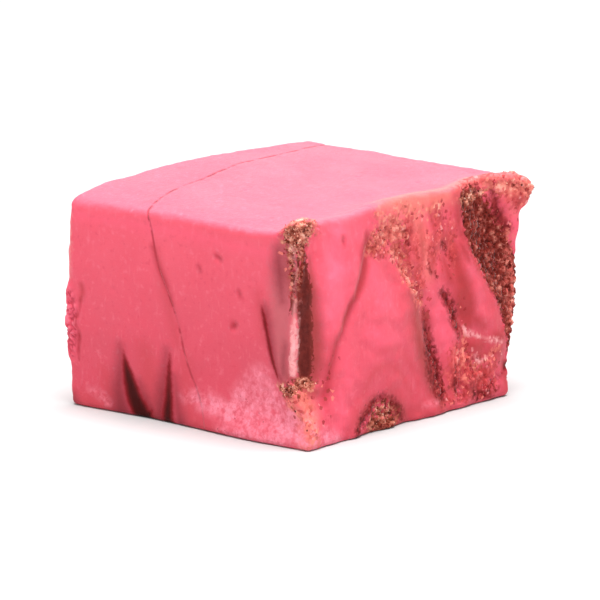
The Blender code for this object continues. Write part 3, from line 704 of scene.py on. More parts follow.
        (0.5, (31.4, 0.6, 1.6), (31.5, 2.2, 1.6), (32.2, 3, 1)),
        (0.6, (32.2, 26.6, 0.2), (32.1, 30, 0.3), (31.8, 34.6, 0.8)),
    ),
    ("grit", "back"): (
        (0.7, (32.3, 22.8, 1.2), (31.2, 22, 0.7)),
        (0.5, (33.4, 11.6, 3.4), (30.2, 13.4, 2.4), (26, 15, 1.3), (22, 16.6, 0.4)),
    ),
    ("grit", "under"): (
        (0.4, (33, 12.4, 2), (29.5, 13.4, 1), (27, 13.4, 0.3)),
    ),
}

# Small dents in the cuts, as (face, first place, second place, radius, depth).
PITS = (
    ("front", 21.4, 20.2, 0.45, 0.22),
    ("front", 22.9, 12.7, 0.5, 0.3),
    ("front", 24.0, 16.5, 0.3, 0.15),
    ("front", 18.6, 18.6, 0.3, 0.12),
    ("front", 25.9, 18.2, 0.25, 0.1),
    ("front", 6.2, 14.5, 0.3, 0.08),
    ("swirl", 7.0, 21.7, 0.4, 0.2),
    ("swirl", 5.5, 20.2, 0.35, 0.12),
    ("swirl", 4.6, 19.2, 0.5, 0.12),
    ("top", 25.9, 26.2, 0.35, 0.2),
    ("top", 18.8, 24.2, 0.3, 0.15),
    ("top", 14.0, 12.0, 0.3, 0.1),
    ("back", 9.0, 15.0, 0.5, 0.2),
    ("back", 21.0, 9.5, 0.4, 0.2),
    ("foot", 12.0, 14.0, 0.4, 0.2),
    ("foot", 22.0, 9.0, 0.5, 0.2),
)

EDGE_RANGE = 0.4  # how far from a sharp edge a field still grows, in millimetres
STROKE_DEPTH = 1.2  # how far in from its face a stroke still colours the next face
THIN_DEPTH = {"frost": 0.5, "rose": 0.6, "crack": 0.6, "ridge": 0.25, "crust": 0.4}
CURVE_STEPS = 5


def curved(stops):
    """The stops with more between them, on a smooth curve through them all."""
    knots = np.array(stops, float)
    before, after = 2 * knots[0] - knots[1], 2 * knots[-1] - knots[-2]
    knots = np.vstack((before, knots, after))
    path = []
    for p0, p1, p2, p3 in zip(knots, knots[1:], knots[2:], knots[3:]):
        for t in np.arange(CURVE_STEPS) / CURVE_STEPS:
            bend = (2 * p0 - 5 * p1 + 4 * p2 - p3) * t + (3 * p1 - p0 - 3 * p2 + p3) * t * t
            path.append(0.5 * (2 * p1 + (p2 - p0 + bend) * t))
    return np.array(path + [knots[-2]])


def stroke_field(depth, face, softness, stops, places):
    """1 well inside a stroke, -1 well outside it, and 0 on its outline."""
    a, b, inward = FACES[face](*places)
    path = curved(stops)
    reach = EDGE_RANGE + softness
    spare = path[:, 2].max() + reach
    near = inward < depth + reach
    for place, middle in ((a, path[:, 0]), (b, path[:, 1])):
        near &= (place > middle.min() - spare) & (place < middle.max() + spare)
    inside = np.full(len(a), -np.inf)
    if near.any():
        inside[near] = -to_line(a[near], b[near], path[:, :2], path[:, 2])
    return np.clip(np.minimum(inside, depth - inward) / reach, -1.0, 1.0)


def finish_fields(places):
    """Each finish's field over the block: the furthest inside any of its strokes."""
    fields = {}
    for (finish, face), strokes in STROKES.items():
        inside = fields.get(finish, np.full(len(places[0]), -1.0))
        depth = THIN_DEPTH.get(finish, STROKE_DEPTH)
        for softness, *stops in strokes:
            inside = np.maximum(inside, stroke_field(depth, face, softness, stops, places))
        fields[finish] = inside
    return fields


# ---------------------------------------------------------------- meshes of the two pours

# Reliefs of the finishes, as (height, size).
GRAIN_RELIEF = (0.08, 0.6)  # the grains in the crumbly places
LUMP_RELIEF = (0.12, 0.85)  # the lumps that the crumb breaks into
FLAKE_RELIEF = (0.13, 1.1)  # the flakes at the foot of the slab
FLAKE_SKEW = (0.9, 1.3)  # how far, and over what length, their outlines are drawn askew
BLOOM_RELIEF = (0.07, 0.9)
NIBBLE = (0.11, 1.3)  # the ragged line of the cut edges
NIBBLED = 1.0  # how far from the edge it fades
CRAG = (0.32, 1.7)  # crags of the lip
CRAG_REACH = {"along": 3.4, "down": 4.5}
CRAG_FAINT = 0.05  # the strength below which there are none
CRUST_LUMPS = 1.4  # how much higher the lumps are on the crust at the corner
CREASE = 0.36  # how far a lump's crease reaches into it, as a share of its size
LUMP_LEVEL = 0.4  # which part of a lump's height lies level with the fudge
COCOA_SUNK = 0.1
CRUMBS_PROUD = 0.06  # how far the crumbly chocolate stands out of the fudge
CRACK_SUNK = 0.2
PIT_SKIN = 0.5  # how far in from its face a pit still dents the block
FLAT_FOOT = 0.25  # the height below which the relief fades, so that the block lies flat
# Values of its field between which each relief rises.
GRIT_SPAN = (-0.3, 0.5)
CRUST_SPAN = (-0.4, 0.4)
FLAKE_SPAN = (-0.2, 0.6)
BLOOM_SPAN = (-0.5, 0.3)
COCOA_SPAN = (0.0, 0.8)
CRACK_SPAN = (-0.2, 0.8)
SEAM_REACH = 0.4  # how far to each side the seam's field falls to 0
SHARP_EDGE = math.radians(75)  # the seam's edges stay crisp


def gridded_cube(cells):
    """A cube from 0 to 1 whose faces are cut into cells along x, y and z."""
    bm = bmesh.new()
    bmesh.ops.create_cube(bm, size=1.0)
    bmesh.ops.translate(bm, verts=bm.verts, vec=(0.5, 0.5, 0.5))
    for axis, count in enumerate(cells):
        along = [
            e for e in bm.edges if abs(e.verts[0].co[axis] - e.verts[1].co[axis]) > 0.5
        ]
        bmesh.ops.subdivide_edges(bm, edges=along, cuts=count - 1, use_grid_fill=True)
    return bm


def edge_closeness(places):
    """1 on the edges of the block, and 0 where they aren't nibbled."""
    sides = zip(places, (LENGTH, WIDTH, HEIGHT))
    inward = np.sort([np.minimum(place, side - place) for place, side in sides], axis=0)
    return 1 - ease(0.0, NIBBLED, inward[1])


def lumpiness(at, size):
    """1 on lumps of about this size, and -1 in the creases between them."""
    found = [noise.voronoi(place)[0] for place in (at / size).tolist()]
    nearest, following = np.array(found).reshape(-1, 4)[:, :2].T
    return 2 * ease(0.0, CREASE, following - nearest) - 1


def waved(rise, strength, size, at):
    """Adds waves where there is any strength. They are worked out there only."""
    where = strength > 0
    rise[where] += strength[where] * wave(size, *at[where].T, octaves=3)


def fine_relief(at, places, fields):
    """Height of the fine crags along each point's normal. Adds the field of the lumps."""
    rise = np.zeros(len(at))
    grit = ease(*GRIT_SPAN, fields["grit"])
    rough = grit > 0
    waved(rise, grit, GRAIN_RELIEF, at)
    lumps = np.zeros(len(at))
    lumps[rough] = lumpiness(at[rough], LUMP_RELIEF[1])
    crusty = 1 + (CRUST_LUMPS - 1) * ease(*CRUST_SPAN, fields["crust"])
    rise += LUMP_RELIEF[0] * (lumps - LUMP_LEVEL) * grit * crusty
    loose = ease(*FLAKE_SPAN, fields["flake"])
    flaky = loose > 0
    flakes = np.zeros(len(at))
    askew = wave(FLAKE_SKEW, *at[flaky].T)
    flakes[flaky] = lumpiness(at[flaky] + askew[:, None], FLAKE_RELIEF[1])
    rise += FLAKE_RELIEF[0] * (flakes - LUMP_LEVEL) * loose
    waved(rise, ease(*BLOOM_SPAN, fields["bloom"]), BLOOM_RELIEF, at)
    closeness = edge_closeness(places)
    edgy = closeness > 0
    rise[edgy] += closeness[edgy] * wave(NIBBLE, *at[edgy].T)
    length, depth, height = places
    lip = hump(WIDTH - depth, CRAG_REACH["along"]) * hump(LENGTH - length, CRAG_REACH["along"])
    lip *= hump(HEIGHT - height, CRAG_REACH["down"])
    waved(rise, np.where(lip > CRAG_FAINT, lip, 0.0), CRAG, at)
    cocoa = ease(*COCOA_SPAN, fields["cocoa"])
    rise += cocoa * (CRUMBS_PROUD * grit - COCOA_SUNK * (1 - grit))
    rise -= CRACK_SUNK * ease(*CRACK_SPAN, fields["crack"])
    for face, a, b, radius, deep in PITS:
        across, along, inward = FACES[face](*places)
        rise -= deep * hump(np.hypot(across - a, along - b), radius) * (inward < PIT_SKIN)
    fields["lumps"] = lumps * grit + flakes * loose
    return rise * ease(0.0, FLAT_FOOT, height)


def finished(name, bm, look):
    """Makes an object of a finished mesh, in its material."""
    mesh = bpy.data.meshes.new(name)
    bm.to_mesh(mesh)
    bm.free()
    mesh.materials.append(look)
    piece = bpy.data.objects.new(name, mesh)
    bpy.context.scene.collection.objects.link(piece)
    return piece


def with_field(piece, name, values):
    piece.data.attributes.new(name, "FLOAT", "POINT").data.foreach_set("value", values)


def poured_layer(name, node, start, end, cells, look):
    """One pour of the slab: the block between two surfaces across its length."""
    bm = gridded_cube(cells)
    share = np.array([v.co[:] for v in bm.verts])
    depth, height = share[:, 1] * WIDTH, share[:, 2] * HEIGHT
    low, high = start(depth, height), end(depth, height)
    length = low + (high - low) * share[:, 0]
    places = (length, depth, height)
    at = fudge_points(np.stack(places, axis=1))
    for vert, co in zip(bm.verts, at.tolist()):
        vert.co = co
    bm.normal_update()
    normals = np.array([v.normal[:] for v in bm.verts])
    fields = finish_fields(places)
    from_seam = np.abs(length - seam_at(depth, height))
    fields["seam"] = np.clip(1 - from_seam / SEAM_REACH, -1.0, 1.0)
    at += normals * fine_relief(at, places, fields)[:, None]
    at[:, 2] = np.maximum(at[:, 2], 0.0)
    for vert, co in zip(bm.verts, (at * MM).tolist()):
        vert.co = co
    layer = finished(name, bm, look)
    layer.data.shade_smooth()
    layer.data.set_sharp_from_angle(angle=SHARP_EDGE)
    for finish, field in fields.items():
        with_field(layer, finish, field)
    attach(layer, "root")
    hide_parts(node)
    return at, normals, fields


# ---------------------------------------------------------------- finishes


def srgb(*levels):
    """A colour given in 0 to 255, as the linear colour the shader takes."""
    shares = [level / 255 for level in levels]
    return tuple(s / 12.92 if s <= 0.04045 else ((s + 0.055) / 1.055) ** 2.4 for s in shares)


PINK = srgb(243, 99, 119)
# Painted shade: the pink that the sides darken to towards the bottom.
LOW_SHADE_PINK = srgb(208, 79, 96)
# Painted light: the top is a little paler, where the light falls on it.
TOP_LIT_PINK = srgb(244, 105, 122)
DEEP_PINK = srgb(235, 83, 104)
DEEP_ROSE = srgb(214, 66, 86)
# Partly a brighter pink, partly painted highlight on swells and edges.
BRIGHT_AND_LIT_PINK = srgb(254, 101, 127)
BLUSH_PINK = srgb(248, 112, 138)
# Also the colour of the painted shade along the foot of the cuts.
MUTED_PINK = srgb(210, 74, 86)
PALE_PINK = srgb(252, 148, 168)
DARK_ROSE = srgb(182, 48, 62)
BRICK = srgb(190, 62, 64)
CRIMSON = srgb(156, 40, 44)
MAUVE = srgb(207, 110, 118)
MAUVE_DARK = srgb(188, 90, 99)
SHADOW = srgb(138, 44, 54)
SEAM_SHADOW = srgb(76, 56, 66)
UMBER = srgb(158, 60, 56)
AMBER = srgb(246, 133, 120)
COCOA = srgb(122, 42, 37)
COCOA_DARK = srgb(92, 24, 20)
RIDGE = srgb(234, 146, 148)
GLINT = srgb(255, 184, 186)


def shades(*steps):
    """Colours of grains or depths, each given as (share of the way, red, green, blue)."""
    return tuple((share, srgb(*levels)) for share, *levels in steps)


CRUST_GRAINS = shades(
    (0, 90, 30, 20), (0.3, 138, 62, 46), (0.5, 182, 98, 80), (0.75, 222, 142, 120),
    (1, 252, 188, 166),
)
GILT_GRAINS = shades(
    (0, 164, 60, 54), (0.3, 204, 92, 84), (0.5, 224, 112, 102), (0.75, 242, 136, 122),
    (1, 255, 178, 160),
)
RUDDY_GRAINS = shades(
    (0, 152, 42, 44), (0.35, 194, 62, 64), (0.6, 216, 84, 86), (0.85, 236, 110, 108),
    (1, 248, 148, 140),
)
RUSSET_GRAINS = shades(
    (0, 82, 8, 10), (0.35, 118, 22, 26), (0.6, 146, 38, 42), (0.85, 176, 66, 66),
    (1, 208, 112, 104),
)
COCOA_GRAINS = shades(
    (0, 82, 12, 6), (0.3, 112, 30, 22), (0.55, 136, 46, 38), (0.8, 166, 80, 70),
    (1, 212, 132, 116),
)
WEDGE_SHADES = shades(
    (0, 176, 44, 58), (0.35, 140, 26, 36), (0.6, 112, 16, 22), (0.8, 84, 8, 10),
    (1, 66, 4, 4),
)
STREWN_SHADES = ((0.0, CRIMSON), (0.35, BRICK), (0.6, UMBER), (0.75, AMBER), (0.9, RIDGE))

# How each finish covers the fudge: the softness of its edge, how thickly it lies at
# most, and how much it breaks up into grains.
COVER = {
    "glow": (0.9, 0.7, 0.0),
    "blush": (0.9, 0.8, 0.0),
    "muted": (0.9, 0.75, 0.0),
    "amber": (0.9, 0.8, 0.0),
    "rose": (0.7, 0.85, 0.0),
    "mauve": (0.9, 0.9, 0.0),
    "shadow": (0.95, 0.85, 0.0),
    "umber": (0.8, 0.8, 0.0),
    "brick": (0.8, 0.85, 0.0),
    "bloom": (0.7, 1.0, 0.0),
    "ruddy": (0.5, 0.85, 0.9),
    "russet": (0.45, 0.97, 0.5),
    "wedge": (0.3, 1.0, 0.0),
    "cocoa": (0.25, 1.0, 0.6),
    "crack": (0.4, 0.85, 0.0),
    "gilt": (0.4, 0.9, 0.9),
    "crust": (0.3, 0.95, 0.8),
    "ridge": (0.6, 0.9, 0.4),
    "frost": (0.6, 0.85, 0.5),
}

# Heights above the ground between which a colour comes in, in metres. Where it doesn't
# go from nothing to full strength, its strengths at the two heights follow.
LOW_SHADE_RISE = (0.003, 0.023, 1.0, 0.0)
TOP_LIT_RISE = (0.0234, 0.025)
TOP_EDGE = (0.0234, 0.024)
PALE_GRAIN_RISE = (0.0208, 0.0235, 0.0, 0.1)
SEAM_FOOT_RISE = (0.002, 0.007, 0.15, 1.0)

# Values of a pattern or a field between which a mark comes in, with strengths as above.
MARKS = {
    "broad": (0.3, 0.7),
    "pale flecks": (0.56, 0.78, 0.0, 0.2),
    "rose flecks": (0.24, 0.42, 0.28, 0.0),
    "pale streaks": (0.56, 0.8, 0.0, 0.14),
    "seam": (0.35, 1.0, 0.0, 0.8),
    "seam breaks": (0.38, 0.56, 0.1, 1.0),
    "specks": (0.4, 0.6),
    "drifts": (0.38, 0.62),
    "wedge depth": (-0.3, 1.0),
    "dark cocoa": (0.2, 0.9),
    "light cocoa": (0.35, 0.65, 0.0, 0.7),
    "strewn grains": (0.0, 0.05, 0.0, 0.75),
    "flakes": (-0.3, 0.4),
    "flake crease shade": (-0.9, 0.3, 0.4, 0.0),
    "flake crest highlight": (0.3, 1.0, 0.0, 0.3),
    "crumb crease shade": (-0.95, -0.2, 0.3, 0.0),
    "roughness": (0.3, 0.7, 0.44, 0.58),
}
LOW_SHADE_COVER = 0.75
BROAD_COVER = 0.35
BLOOM_AND_FOOT_LIGHT_COVER = {"least": 0.08, "drifts": 0.48, "specks": 0.4}
SEAM_WIDER = 0.15  # how much wider the seam looks along the top
STREWN_SHARE = (0.13, 0.17)  # of the grains, at an outline, and more in the middle

GRAIN_SIZE = 0.38  # of the coloured grains, in millimetres
# How light a grain is: in the middle, and how far each thing shifts it.
GRAIN_LIGHT = {"middle": 0.48, "chance": 0.45, "lump": 0.15, "patches": 1.2, "drawn": 0.7}
WOBBLE = {"smooth": 0.5, "crumbly": 1.2, "wedge": 0.4}  # how far outlines wander
GRAIN_DOME = 0.6  # how far from its middle a grain's dome comes down to 0, in grains
BUMPS = {"grains": 0.14, "fine": 0.03, "streaks": 0.04}  # heights in millimetres
GRIT_ROUGHER = 0.25


class Look:
    """Wires the nodes of one finish. Patterns are sized in millimetres on the object."""

    def __init__(self, name):
        self.material = bpy.data.materials.new(name)
        self.material.use_nodes = True
        self.tree = self.material.node_tree
        self.shader = self.tree.nodes["Principled BSDF"]
        self.place = self.new("ShaderNodeTexCoord").outputs["Object"]
        parts = self.new("ShaderNodeSeparateXYZ")
        self.feed(parts.inputs["Vector"], self.place)
        self.rise = parts.outputs["Z"]
        self.colour = None

    def new(self, kind, **settings):
        node = self.tree.nodes.new(kind)
        for key, value in settings.items():
            setattr(node, key, value)
        return node

    def feed(self, socket, value):
        if isinstance(value, bpy.types.NodeSocket):
            self.tree.links.new(value, socket)
        elif isinstance(value, tuple) and len(value) == 3 and socket.type == "RGBA":
            socket.default_value = (*value, 1.0)
        else:
            socket.default_value = value

    def field(self, name):
        return self.new("ShaderNodeAttribute", attribute_name=name).outputs["Fac"]

    def all_over(self, settings):
        """Sets the shader's sockets that are the same all over the surface."""
        for name, value in settings.items():
            self.shader.inputs[name].default_value = value

    def drawn_up(self, share):
        """Places for a pattern that is drawn out upwards, by this share of its scale."""
        mapping = self.new("ShaderNodeMapping")
        self.feed(mapping.inputs["Vector"], self.place)
        mapping.inputs["Scale"].default_value = (1.0, 1.0, share)
        return mapping.outputs["Vector"]

    def mottle(self, size, detail=2.0, rough=0.5, place=None):
        """Noise from 0 to 1 whose spots are about this many millimetres across."""
        node = self.new("ShaderNodeTexNoise")
        self.feed(node.inputs["Vector"], place or self.place)
        node.inputs["Scale"].default_value = 1 / (size * MM)
        node.inputs["Detail"].default_value = detail
        node.inputs["Roughness"].default_value = rough
        return node.outputs["Fac"]

    def grains(self, size):
        """Cells about this many millimetres across: a chance for each, and its height."""
        node = self.new("ShaderNodeTexVoronoi")
        self.feed(node.inputs["Vector"], self.place)
        node.inputs["Scale"].default_value = 1 / (size * MM)
        chance = self.new("ShaderNodeSeparateColor")
        self.feed(chance.inputs["Color"], node.outputs["Color"])
        return chance.outputs["Red"], chance.outputs["Green"], node.outputs["Distance"]

    def reckon(self, kind, *values):
        node = self.new("ShaderNodeMath", operation=kind)
        for socket, value in zip(node.inputs, values):
            self.feed(socket, value)
        return node.outputs["Value"]

    def plus(self, a, b):
        return self.reckon("ADD", a, b)

    def minus(self, a, b):
        return self.reckon("SUBTRACT", a, b)

    def times(self, a, b):
        return self.reckon("MULTIPLY", a, b)

    def times_plus(self, a, b, c):
        return self.reckon("MULTIPLY_ADD", a, b, c)

    def swing(self, pattern, reach):
        """A pattern from 0 to 1, as one that swings this far in all, evenly around 0."""
        return self.times_plus(pattern, reach, -reach / 2)

    def between(self, value, low, high, out_low=0.0, out_high=1.0):
        node = self.new("ShaderNodeMapRange", interpolation_type="SMOOTHSTEP")
        self.feed(node.inputs["Value"], value)
        bounds = (low, high, out_low, out_high)
        for key, bound in zip(("From Min", "From Max", "To Min", "To Max"), bounds):
            self.feed(node.inputs[key], bound)
        return node.outputs["Result"]

    def blend(self, share, a, b, kind="MIX"):
        node = self.new("ShaderNodeMix", data_type="RGBA", blend_type=kind)
        self.feed(node.inputs["Factor"], share)
        colours = [s for s in node.inputs if s.type == "RGBA"]
        self.feed(colours[0], a)
        self.feed(colours[1], b)
        return [s for s in node.outputs if s.type == "RGBA"][0]

    def coat(self, share, colour):
        """Lays a colour over the finish so far, as thickly as its share says."""
        self.colour = self.blend(share, self.colour, colour)

    def palette(self, value, *steps, blurred=False):
        """A colour for a value: each step is (from where, colour)."""
        node = self.new("ShaderNodeValToRGB")
        node.color_ramp.interpolation = "LINEAR" if blurred else "CONSTANT"
        self.feed(node.inputs["Fac"], value)
        stops = node.color_ramp.elements
        while len(stops) < len(steps):
            stops.new(0.5)
        for stop, (where, colour) in zip(stops, steps):
            stop.position = where
            stop.color = (*colour, 1.0)
        return node.outputs["Color"]

    def raised(self, height, millimetres, under=None):
        node = self.new("ShaderNodeBump")
        self.feed(node.inputs["Height"], height)
        node.inputs["Distance"].default_value = millimetres * MM
        if under:
            self.feed(node.inputs["Normal"], under)
        return node.outputs["Normal"]


def fudge_look(name):
    """Pink fudge with chocolate drawn through it, by the fields on the mesh."""
    look = Look(name)
    ragged = look.mottle(0.7, 3.0, 0.65)
    wander = look.mottle(2.6)
    fine = look.mottle(0.2, rough=0.6)
    flecks = look.mottle(0.7)
    streaks = look.mottle(0.5, place=look.drawn_up(0.28))
    chance, second_chance, height = look.grains(GRAIN_SIZE)
    toss = look.minus(chance, 0.5)
    lumps = look.field("lumps")
    grit = look.between(look.field("grit"), *GRIT_SPAN)
    wobble = look.times_plus(grit, WOBBLE["crumbly"], WOBBLE["smooth"])
    wobble = look.times(look.minus(ragged, 0.5), wobble)

    # How light each grain is: by chance, by the patch it lies in, and by its lump, which paints
    # light on the lumps and shade in the creases between them.
    light = GRAIN_LIGHT
    patches = look.swing(look.mottle(1.0, 3.0, 0.6), light["patches"])
    drawn = look.swing(look.mottle(0.9, place=look.drawn_up(0.35)), light["drawn"])
    pick = look.times_plus(look.minus(second_chance, 0.5), light["chance"], light["middle"])
    pick = look.times_plus(lumps, light["lump"], look.plus(pick, patches))
    pick = look.plus(pick, drawn)
    pick = look.plus(pick, look.between(look.rise, *PALE_GRAIN_RISE))

    def inside(finish):
        """Where a finish lies. Its outline is wobbly, or breaks up into grains."""
        softness, most, scatter = COVER[finish]
        level = look.plus(look.field(finish), wobble)
        if scatter:
            level = look.times_plus(toss, scatter, level)
        return look.between(level, -softness, softness, 0.0, most)

    def marked(value, mark):
        return look.between(value, *MARKS[mark])

    def grained(steps):
        return look.palette(pick, *steps, blurred=True)

    # The fudge itself.
    look.colour = PINK
    # Painted shade: the sides darken towards the bottom.
    look.coat(look.times(look.between(look.rise, *LOW_SHADE_RISE), LOW_SHADE_COVER), LOW_SHADE_PINK)
    # Painted light on the top.
    look.coat(look.between(look.rise, *TOP_LIT_RISE), TOP_LIT_PINK)
    look.coat(look.times(marked(look.mottle(6.5, 3.0), "broad"), BROAD_COVER), DEEP_PINK)
    look.coat(marked(flecks, "pale flecks"), PALE_PINK)
    look.coat(marked(flecks, "rose flecks"), DEEP_ROSE)
    look.coat(marked(streaks, "pale streaks"), PALE_PINK)
    for finish, colour in (
        # Partly brighter pink, partly painted highlight on swells and edges.
        ("glow", BRIGHT_AND_LIT_PINK),
        ("blush", BLUSH_PINK),
        # Muted pink, and painted shade along the foot.
        ("muted", MUTED_PINK),
        ("amber", AMBER),
        ("rose", DARK_ROSE),
        ("mauve", look.blend(wander, MAUVE, MAUVE_DARK)),
        ("shadow", SHADOW),
        ("umber", UMBER),
        ("brick", look.blend(wander, BRICK, CRIMSON)),
    ):
        look.coat(inside(finish), colour)

    # The seam, broken here and there, and wider along the top.
    topmost = look.between(look.rise, *TOP_EDGE)
    seam = marked(look.times_plus(topmost, SEAM_WIDER, look.field("seam")), "seam")
    seam = look.times(seam, look.between(look.rise, *SEAM_FOOT_RISE))
    seam = look.times(seam, marked(look.mottle(1.1), "seam breaks"))
    look.coat(seam, look.blend(topmost, DARK_ROSE, SEAM_SHADOW))

    # The sugar bloom low on the cuts, in specks and drifts, which along the foot of the front is
    # also painted light.
    specks = marked(look.mottle(0.55, 3.0, 0.7), "specks")
    drifts = marked(look.mottle(1.6, 3.0, 0.6, place=look.drawn_up(0.75)), "drifts")
    foam = look.times_plus(drifts, BLOOM_AND_FOOT_LIGHT_COVER["drifts"], BLOOM_AND_FOOT_LIGHT_COVER["least"])
    foam = look.times_plus(specks, BLOOM_AND_FOOT_LIGHT_COVER["specks"], foam)
    look.coat(look.times(inside("bloom"), foam), PALE_PINK)

    # Chocolate, smooth or in grains.
    look.coat(inside("ruddy"), grained(RUDDY_GRAINS))
    look.coat(inside("russet"), grained(RUSSET_GRAINS))
    depth = look.times_plus(wobble, WOBBLE["wedge"], look.field("wedge"))
    depth = marked(depth, "wedge depth")
    look.coat(inside("wedge"), look.palette(depth, *WEDGE_SHADES, blurred=True))
    smooth = look.blend(marked(look.field("cocoa"), "dark cocoa"), COCOA, COCOA_DARK)
    smooth = look.blend(marked(ragged, "light cocoa"), smooth, COCOA)
    look.coat(inside("cocoa"), look.blend(grit, smooth, grained(COCOA_GRAINS)))
    # Painted shade in the sunk cracks.
    look.coat(inside("crack"), DARK_ROSE)
    look.coat(inside("gilt"), grained(GILT_GRAINS))
    look.coat(inside("crust"), grained(CRUST_GRAINS))
    few, more = STREWN_SHARE
    strewn = look.times_plus(look.field("strewn"), more, look.minus(few, chance))
    look.coat(marked(strewn, "strewn grains"), look.palette(second_chance, *STREWN_SHADES))
    look.coat(inside("ridge"), RIDGE)
    # Painted highlight along the ridges.
    look.coat(inside("frost"), GLINT)

    # Painted shade in the creases: darker between lumps of crumb, red between flakes; and painted
    # highlight on the crests of the flakes.
    loose = marked(look.field("flake"), "flakes")
    look.coat(look.times(loose, marked(lumps, "flake crease shade")), DARK_ROSE)
    look.coat(look.times(loose, marked(lumps, "flake crest highlight")), PALE_PINK)
    crease_shade = look.blend(0.5, look.colour, CRIMSON, "MULTIPLY")
    look.coat(marked(lumps, "crumb crease shade"), crease_shade)
    look.feed(look.shader.inputs["Base Color"], look.colour)

    domes = look.times(look.minus(GRAIN_DOME, height), grit)
    normal = look.raised(domes, BUMPS["grains"])
    normal = look.raised(fine, BUMPS["fine"], normal)
    normal = look.raised(streaks, BUMPS["streaks"], normal)
    look.feed(look.shader.inputs["Normal"], normal)
    rough = look.times_plus(grit, GRIT_ROUGHER, marked(look.mottle(1.4, 3.0), "roughness"))
    look.feed(look.shader.inputs["Roughness"], rough)
    look.all_over({
        "Specular IOR Level": 0.1,
        "Sheen Weight": 0.2,
        "Sheen Roughness": 0.3,
        "Subsurface Weight": 0.2,
        "Subsurface Radius": (1.0, 0.35, 0.3),
        "Subsurface Scale": 0.8 * MM,
    })
    return look.material


def crumb_look(name, *colours):
    """Crumbs of a few colours, one for each crumb, from its attribute."""
    look = Look(name)
    steps = [(i / len(colours), colour) for i, colour in enumerate(colours)]
    colour = look.palette(look.field("crumb"), *steps)
    shade = look.between(look.mottle(0.15), 0.3, 0.7, 0.8, 1.0)
    grey = look.new("ShaderNodeCombineColor")
    for socket in grey.inputs:
        look.feed(socket, shade)
    colour = look.blend(1.0, colour, grey.outputs[0], "MULTIPLY")
    look.feed(look.shader.inputs["Base Color"], colour)
    look.feed(look.shader.inputs["Normal"], look.raised(look.mottle(0.1), 0.05))
    look.all_over({
        "Roughness": 0.6,
        "Specular IOR Level": 0.15,
        "Subsurface Weight": 0.1,
        "Subsurface Scale": 0.4 * MM,
    })
    return look.material


# ---------------------------------------------------------------- loose crumbs


LYING_LOW = 0.3  # no crumbs stick to the block below this height
CRUMB_SMALLNESS = 1.6  # how many more small crumbs than large ones, as a power
CRUMB_SQUASH = ((0.6, 1.0), (0.5, 0.9))  # least and most, across two of its axes
CRUMB_STANDING = (-0.35, 0.25)  # how far its middle is out of the fudge, in its sizes
CRUMB_KNOBS = (0.75, 1.15)  # how far its corners are pulled in or out
CRUMBY_SPAN = (-0.1, 0.6)  # values of a finish's field between which its crumbs come in


def crumbs(name, layers, weigh, count, sizes, look, seed):
    """Small lumps stuck to the block, thickest where weigh says, as one mesh."""
    draw = random.Random(seed)
    at = np.concatenate([places for places, _, _ in layers])
    normals = np.concatenate([outward for _, outward, _ in layers])
    weights = np.concatenate([weigh(fields) for _, _, fields in layers])
    weights = np.where(at[:, 2] > LYING_LOW, weights, 0.0)
    chosen = draw.choices(range(len(at)), weights=weights.tolist(), k=count)
    least, most = sizes
    bm = bmesh.new()
    tints = []
    for index in chosen:
        size = least * (most / least) ** draw.random() ** CRUMB_SMALLNESS
        turn = Euler([draw.uniform(0, math.tau) for _ in range(3)]).to_matrix().to_4x4()
        squash = Matrix.Diagonal((1.0, *(draw.uniform(*span) for span in CRUMB_SQUASH), 1.0))
        out = Vector(normals[index]) * size * draw.uniform(*CRUMB_STANDING)
        where = Vector(at[index]) + out
        where.z = max(where.z, size)
        middle = where * MM
        made = bmesh.ops.create_icosphere(
            bm, subdivisions=1, radius=size * MM,
            matrix=Matrix.Translation(middle) @ turn @ squash,
        )["verts"]
        for vert in made:
            vert.co = middle + (vert.co - middle) * draw.uniform(*CRUMB_KNOBS)
        tints += [draw.random()] * len(made)
    piece = finished(name, bm, look)
    with_field(piece, "crumb", tints)
    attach(piece, "root")


# ---------------------------------------------------------------- floor, lights, camera

VIEW_AZIMUTH = math.radians(38.5)
VIEW_ELEVATION = math.radians(13.0)
VIEW_DISTANCE = 650.0
VIEW_WIDTH = 66.67  # what the frame spans at the block
AIM = (2.18, -2.17, 12.0)
FLOOR_TONES = ((0.49, 0.486, 0.486), (0.52, 0.516, 0.516))
MIDDLE = (0.0, 0.0, 0.012)  # of the piece, in metres, where the light is aimed


def floor():
    bm = bmesh.new()
    bmesh.ops.create_grid(bm, x_segments=8, y_segments=8, size=3.0)
    look = Look("pale_floor")
    tone = look.between(look.mottle(40.0, 3.0), 0.3, 0.7)
    look.feed(look.shader.inputs["Base Color"], look.blend(tone, *FLOOR_TONES))
    look.all_over({"Roughness": 0.8})
    sheet = finished("floor", bm, look.material)


def soft_light(name, place, size, power):
    light = bpy.data.lights.new(name, "AREA")
    light.shape = "DISK"
    light.size = size
    light.energy = power
    lamp = bpy.data.objects.new(name, light)
    lamp.location = place
    lamp.rotation_euler = (Vector(MIDDLE) - Vector(place)).to_track_quat("-Z", "Y").to_euler()
    bpy.context.scene.collection.objects.link(lamp)


def white_room(strength):
    world = bpy.data.worlds.new("white_room")
    world.use_nodes = True
    back = world.node_tree.nodes["Background"]
    back.inputs["Color"].default_value = (1.0, 1.0, 1.0, 1.0)
    back.inputs["Strength"].default_value = strength
    bpy.context.scene.world = world


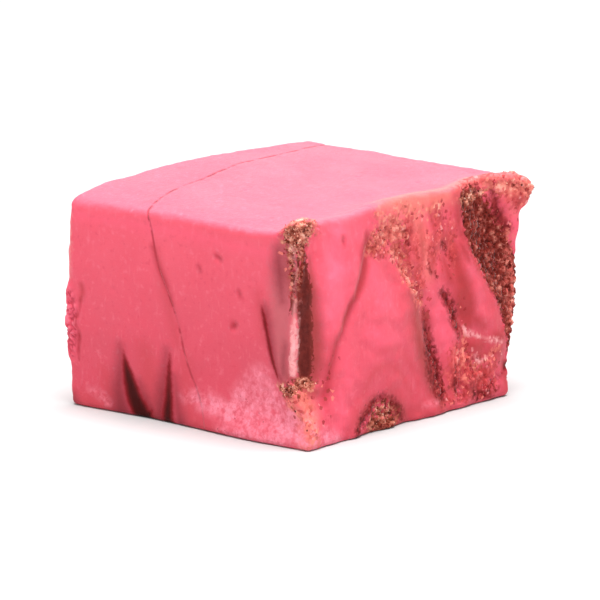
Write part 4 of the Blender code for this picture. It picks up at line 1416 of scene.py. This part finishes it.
def camera():
    data = bpy.data.cameras.new("camera")
    data.sensor_width = 36.0
    data.lens = data.sensor_width * VIEW_DISTANCE / VIEW_WIDTH
    data.clip_start = 0.01
    eye = bpy.data.objects.new("camera", data)
    level = math.cos(VIEW_ELEVATION)
    back = Vector((
        math.sin(VIEW_AZIMUTH) * level,
        -math.cos(VIEW_AZIMUTH) * level,
        math.sin(VIEW_ELEVATION),
    ))
    eye.location = (Vector(AIM) + back * VIEW_DISTANCE) * MM
    eye.rotation_euler = back.to_track_quat("Z", "Y").to_euler()
    bpy.context.scene.collection.objects.link(eye)
    bpy.context.scene.camera = eye


# ---------------------------------------------------------------- the piece

half_gap = SEEN_GAP / 2
first_pour = poured_layer(
    "first_pour", "base_layer",
    start=lambda depth, height: np.zeros_like(depth),
    end=lambda depth, height: seam_at(depth, height) - half_gap,
    cells=FIRST_POUR_CELLS,
    look=fudge_look("first_pour_fudge"),
)
second_pour = poured_layer(
    "second_pour", "swirled_layer",
    start=lambda depth, height: seam_at(depth, height) + half_gap,
    end=lambda depth, height: np.full_like(depth, LENGTH),
    cells=SECOND_POUR_CELLS,
    look=fudge_look("second_pour_fudge"),
)
pours = (first_pour, second_pour)


def within(fields, name):
    """1 where a finish is thick enough for its crumbs, 0 off it."""
    return ease(*CRUMBY_SPAN, fields[name])


crumbs(
    "cocoa_crumbs", pours,
    weigh=lambda f: within(f, "cocoa") * within(f, "grit") + 0.4 * within(f, "russet"),
    count=450, sizes=(0.05, 0.12), seed=11,
    look=crumb_look("cocoa_crumb", *(colour for _, colour in COCOA_GRAINS)),
)
crumbs(
    "golden_crumbs", pours,
    weigh=lambda f: within(f, "crust") + 0.12 * within(f, "gilt"),
    count=440, sizes=(0.06, 0.17), seed=12,
    look=crumb_look("golden_crumb", *(colour for _, colour in CRUST_GRAINS)),
)
crumbs(
    "pink_crumbs", pours,
    weigh=lambda f: (
        0.4 * within(f, "strewn") + 0.1 * within(f, "grit") + 0.03 * within(f, "bloom")
    ),
    count=420, sizes=(0.05, 0.12), seed=13,
    look=crumb_look("pink_crumb", CRIMSON, BRICK, MUTED_PINK, PINK),
)

floor()
white_room(strength=0.6)
soft_light("overhead", place=(0.06, -0.02, 0.75), size=0.6, power=12.5)
camera()
bpy.context.scene.view_settings.view_transform = "Standard"
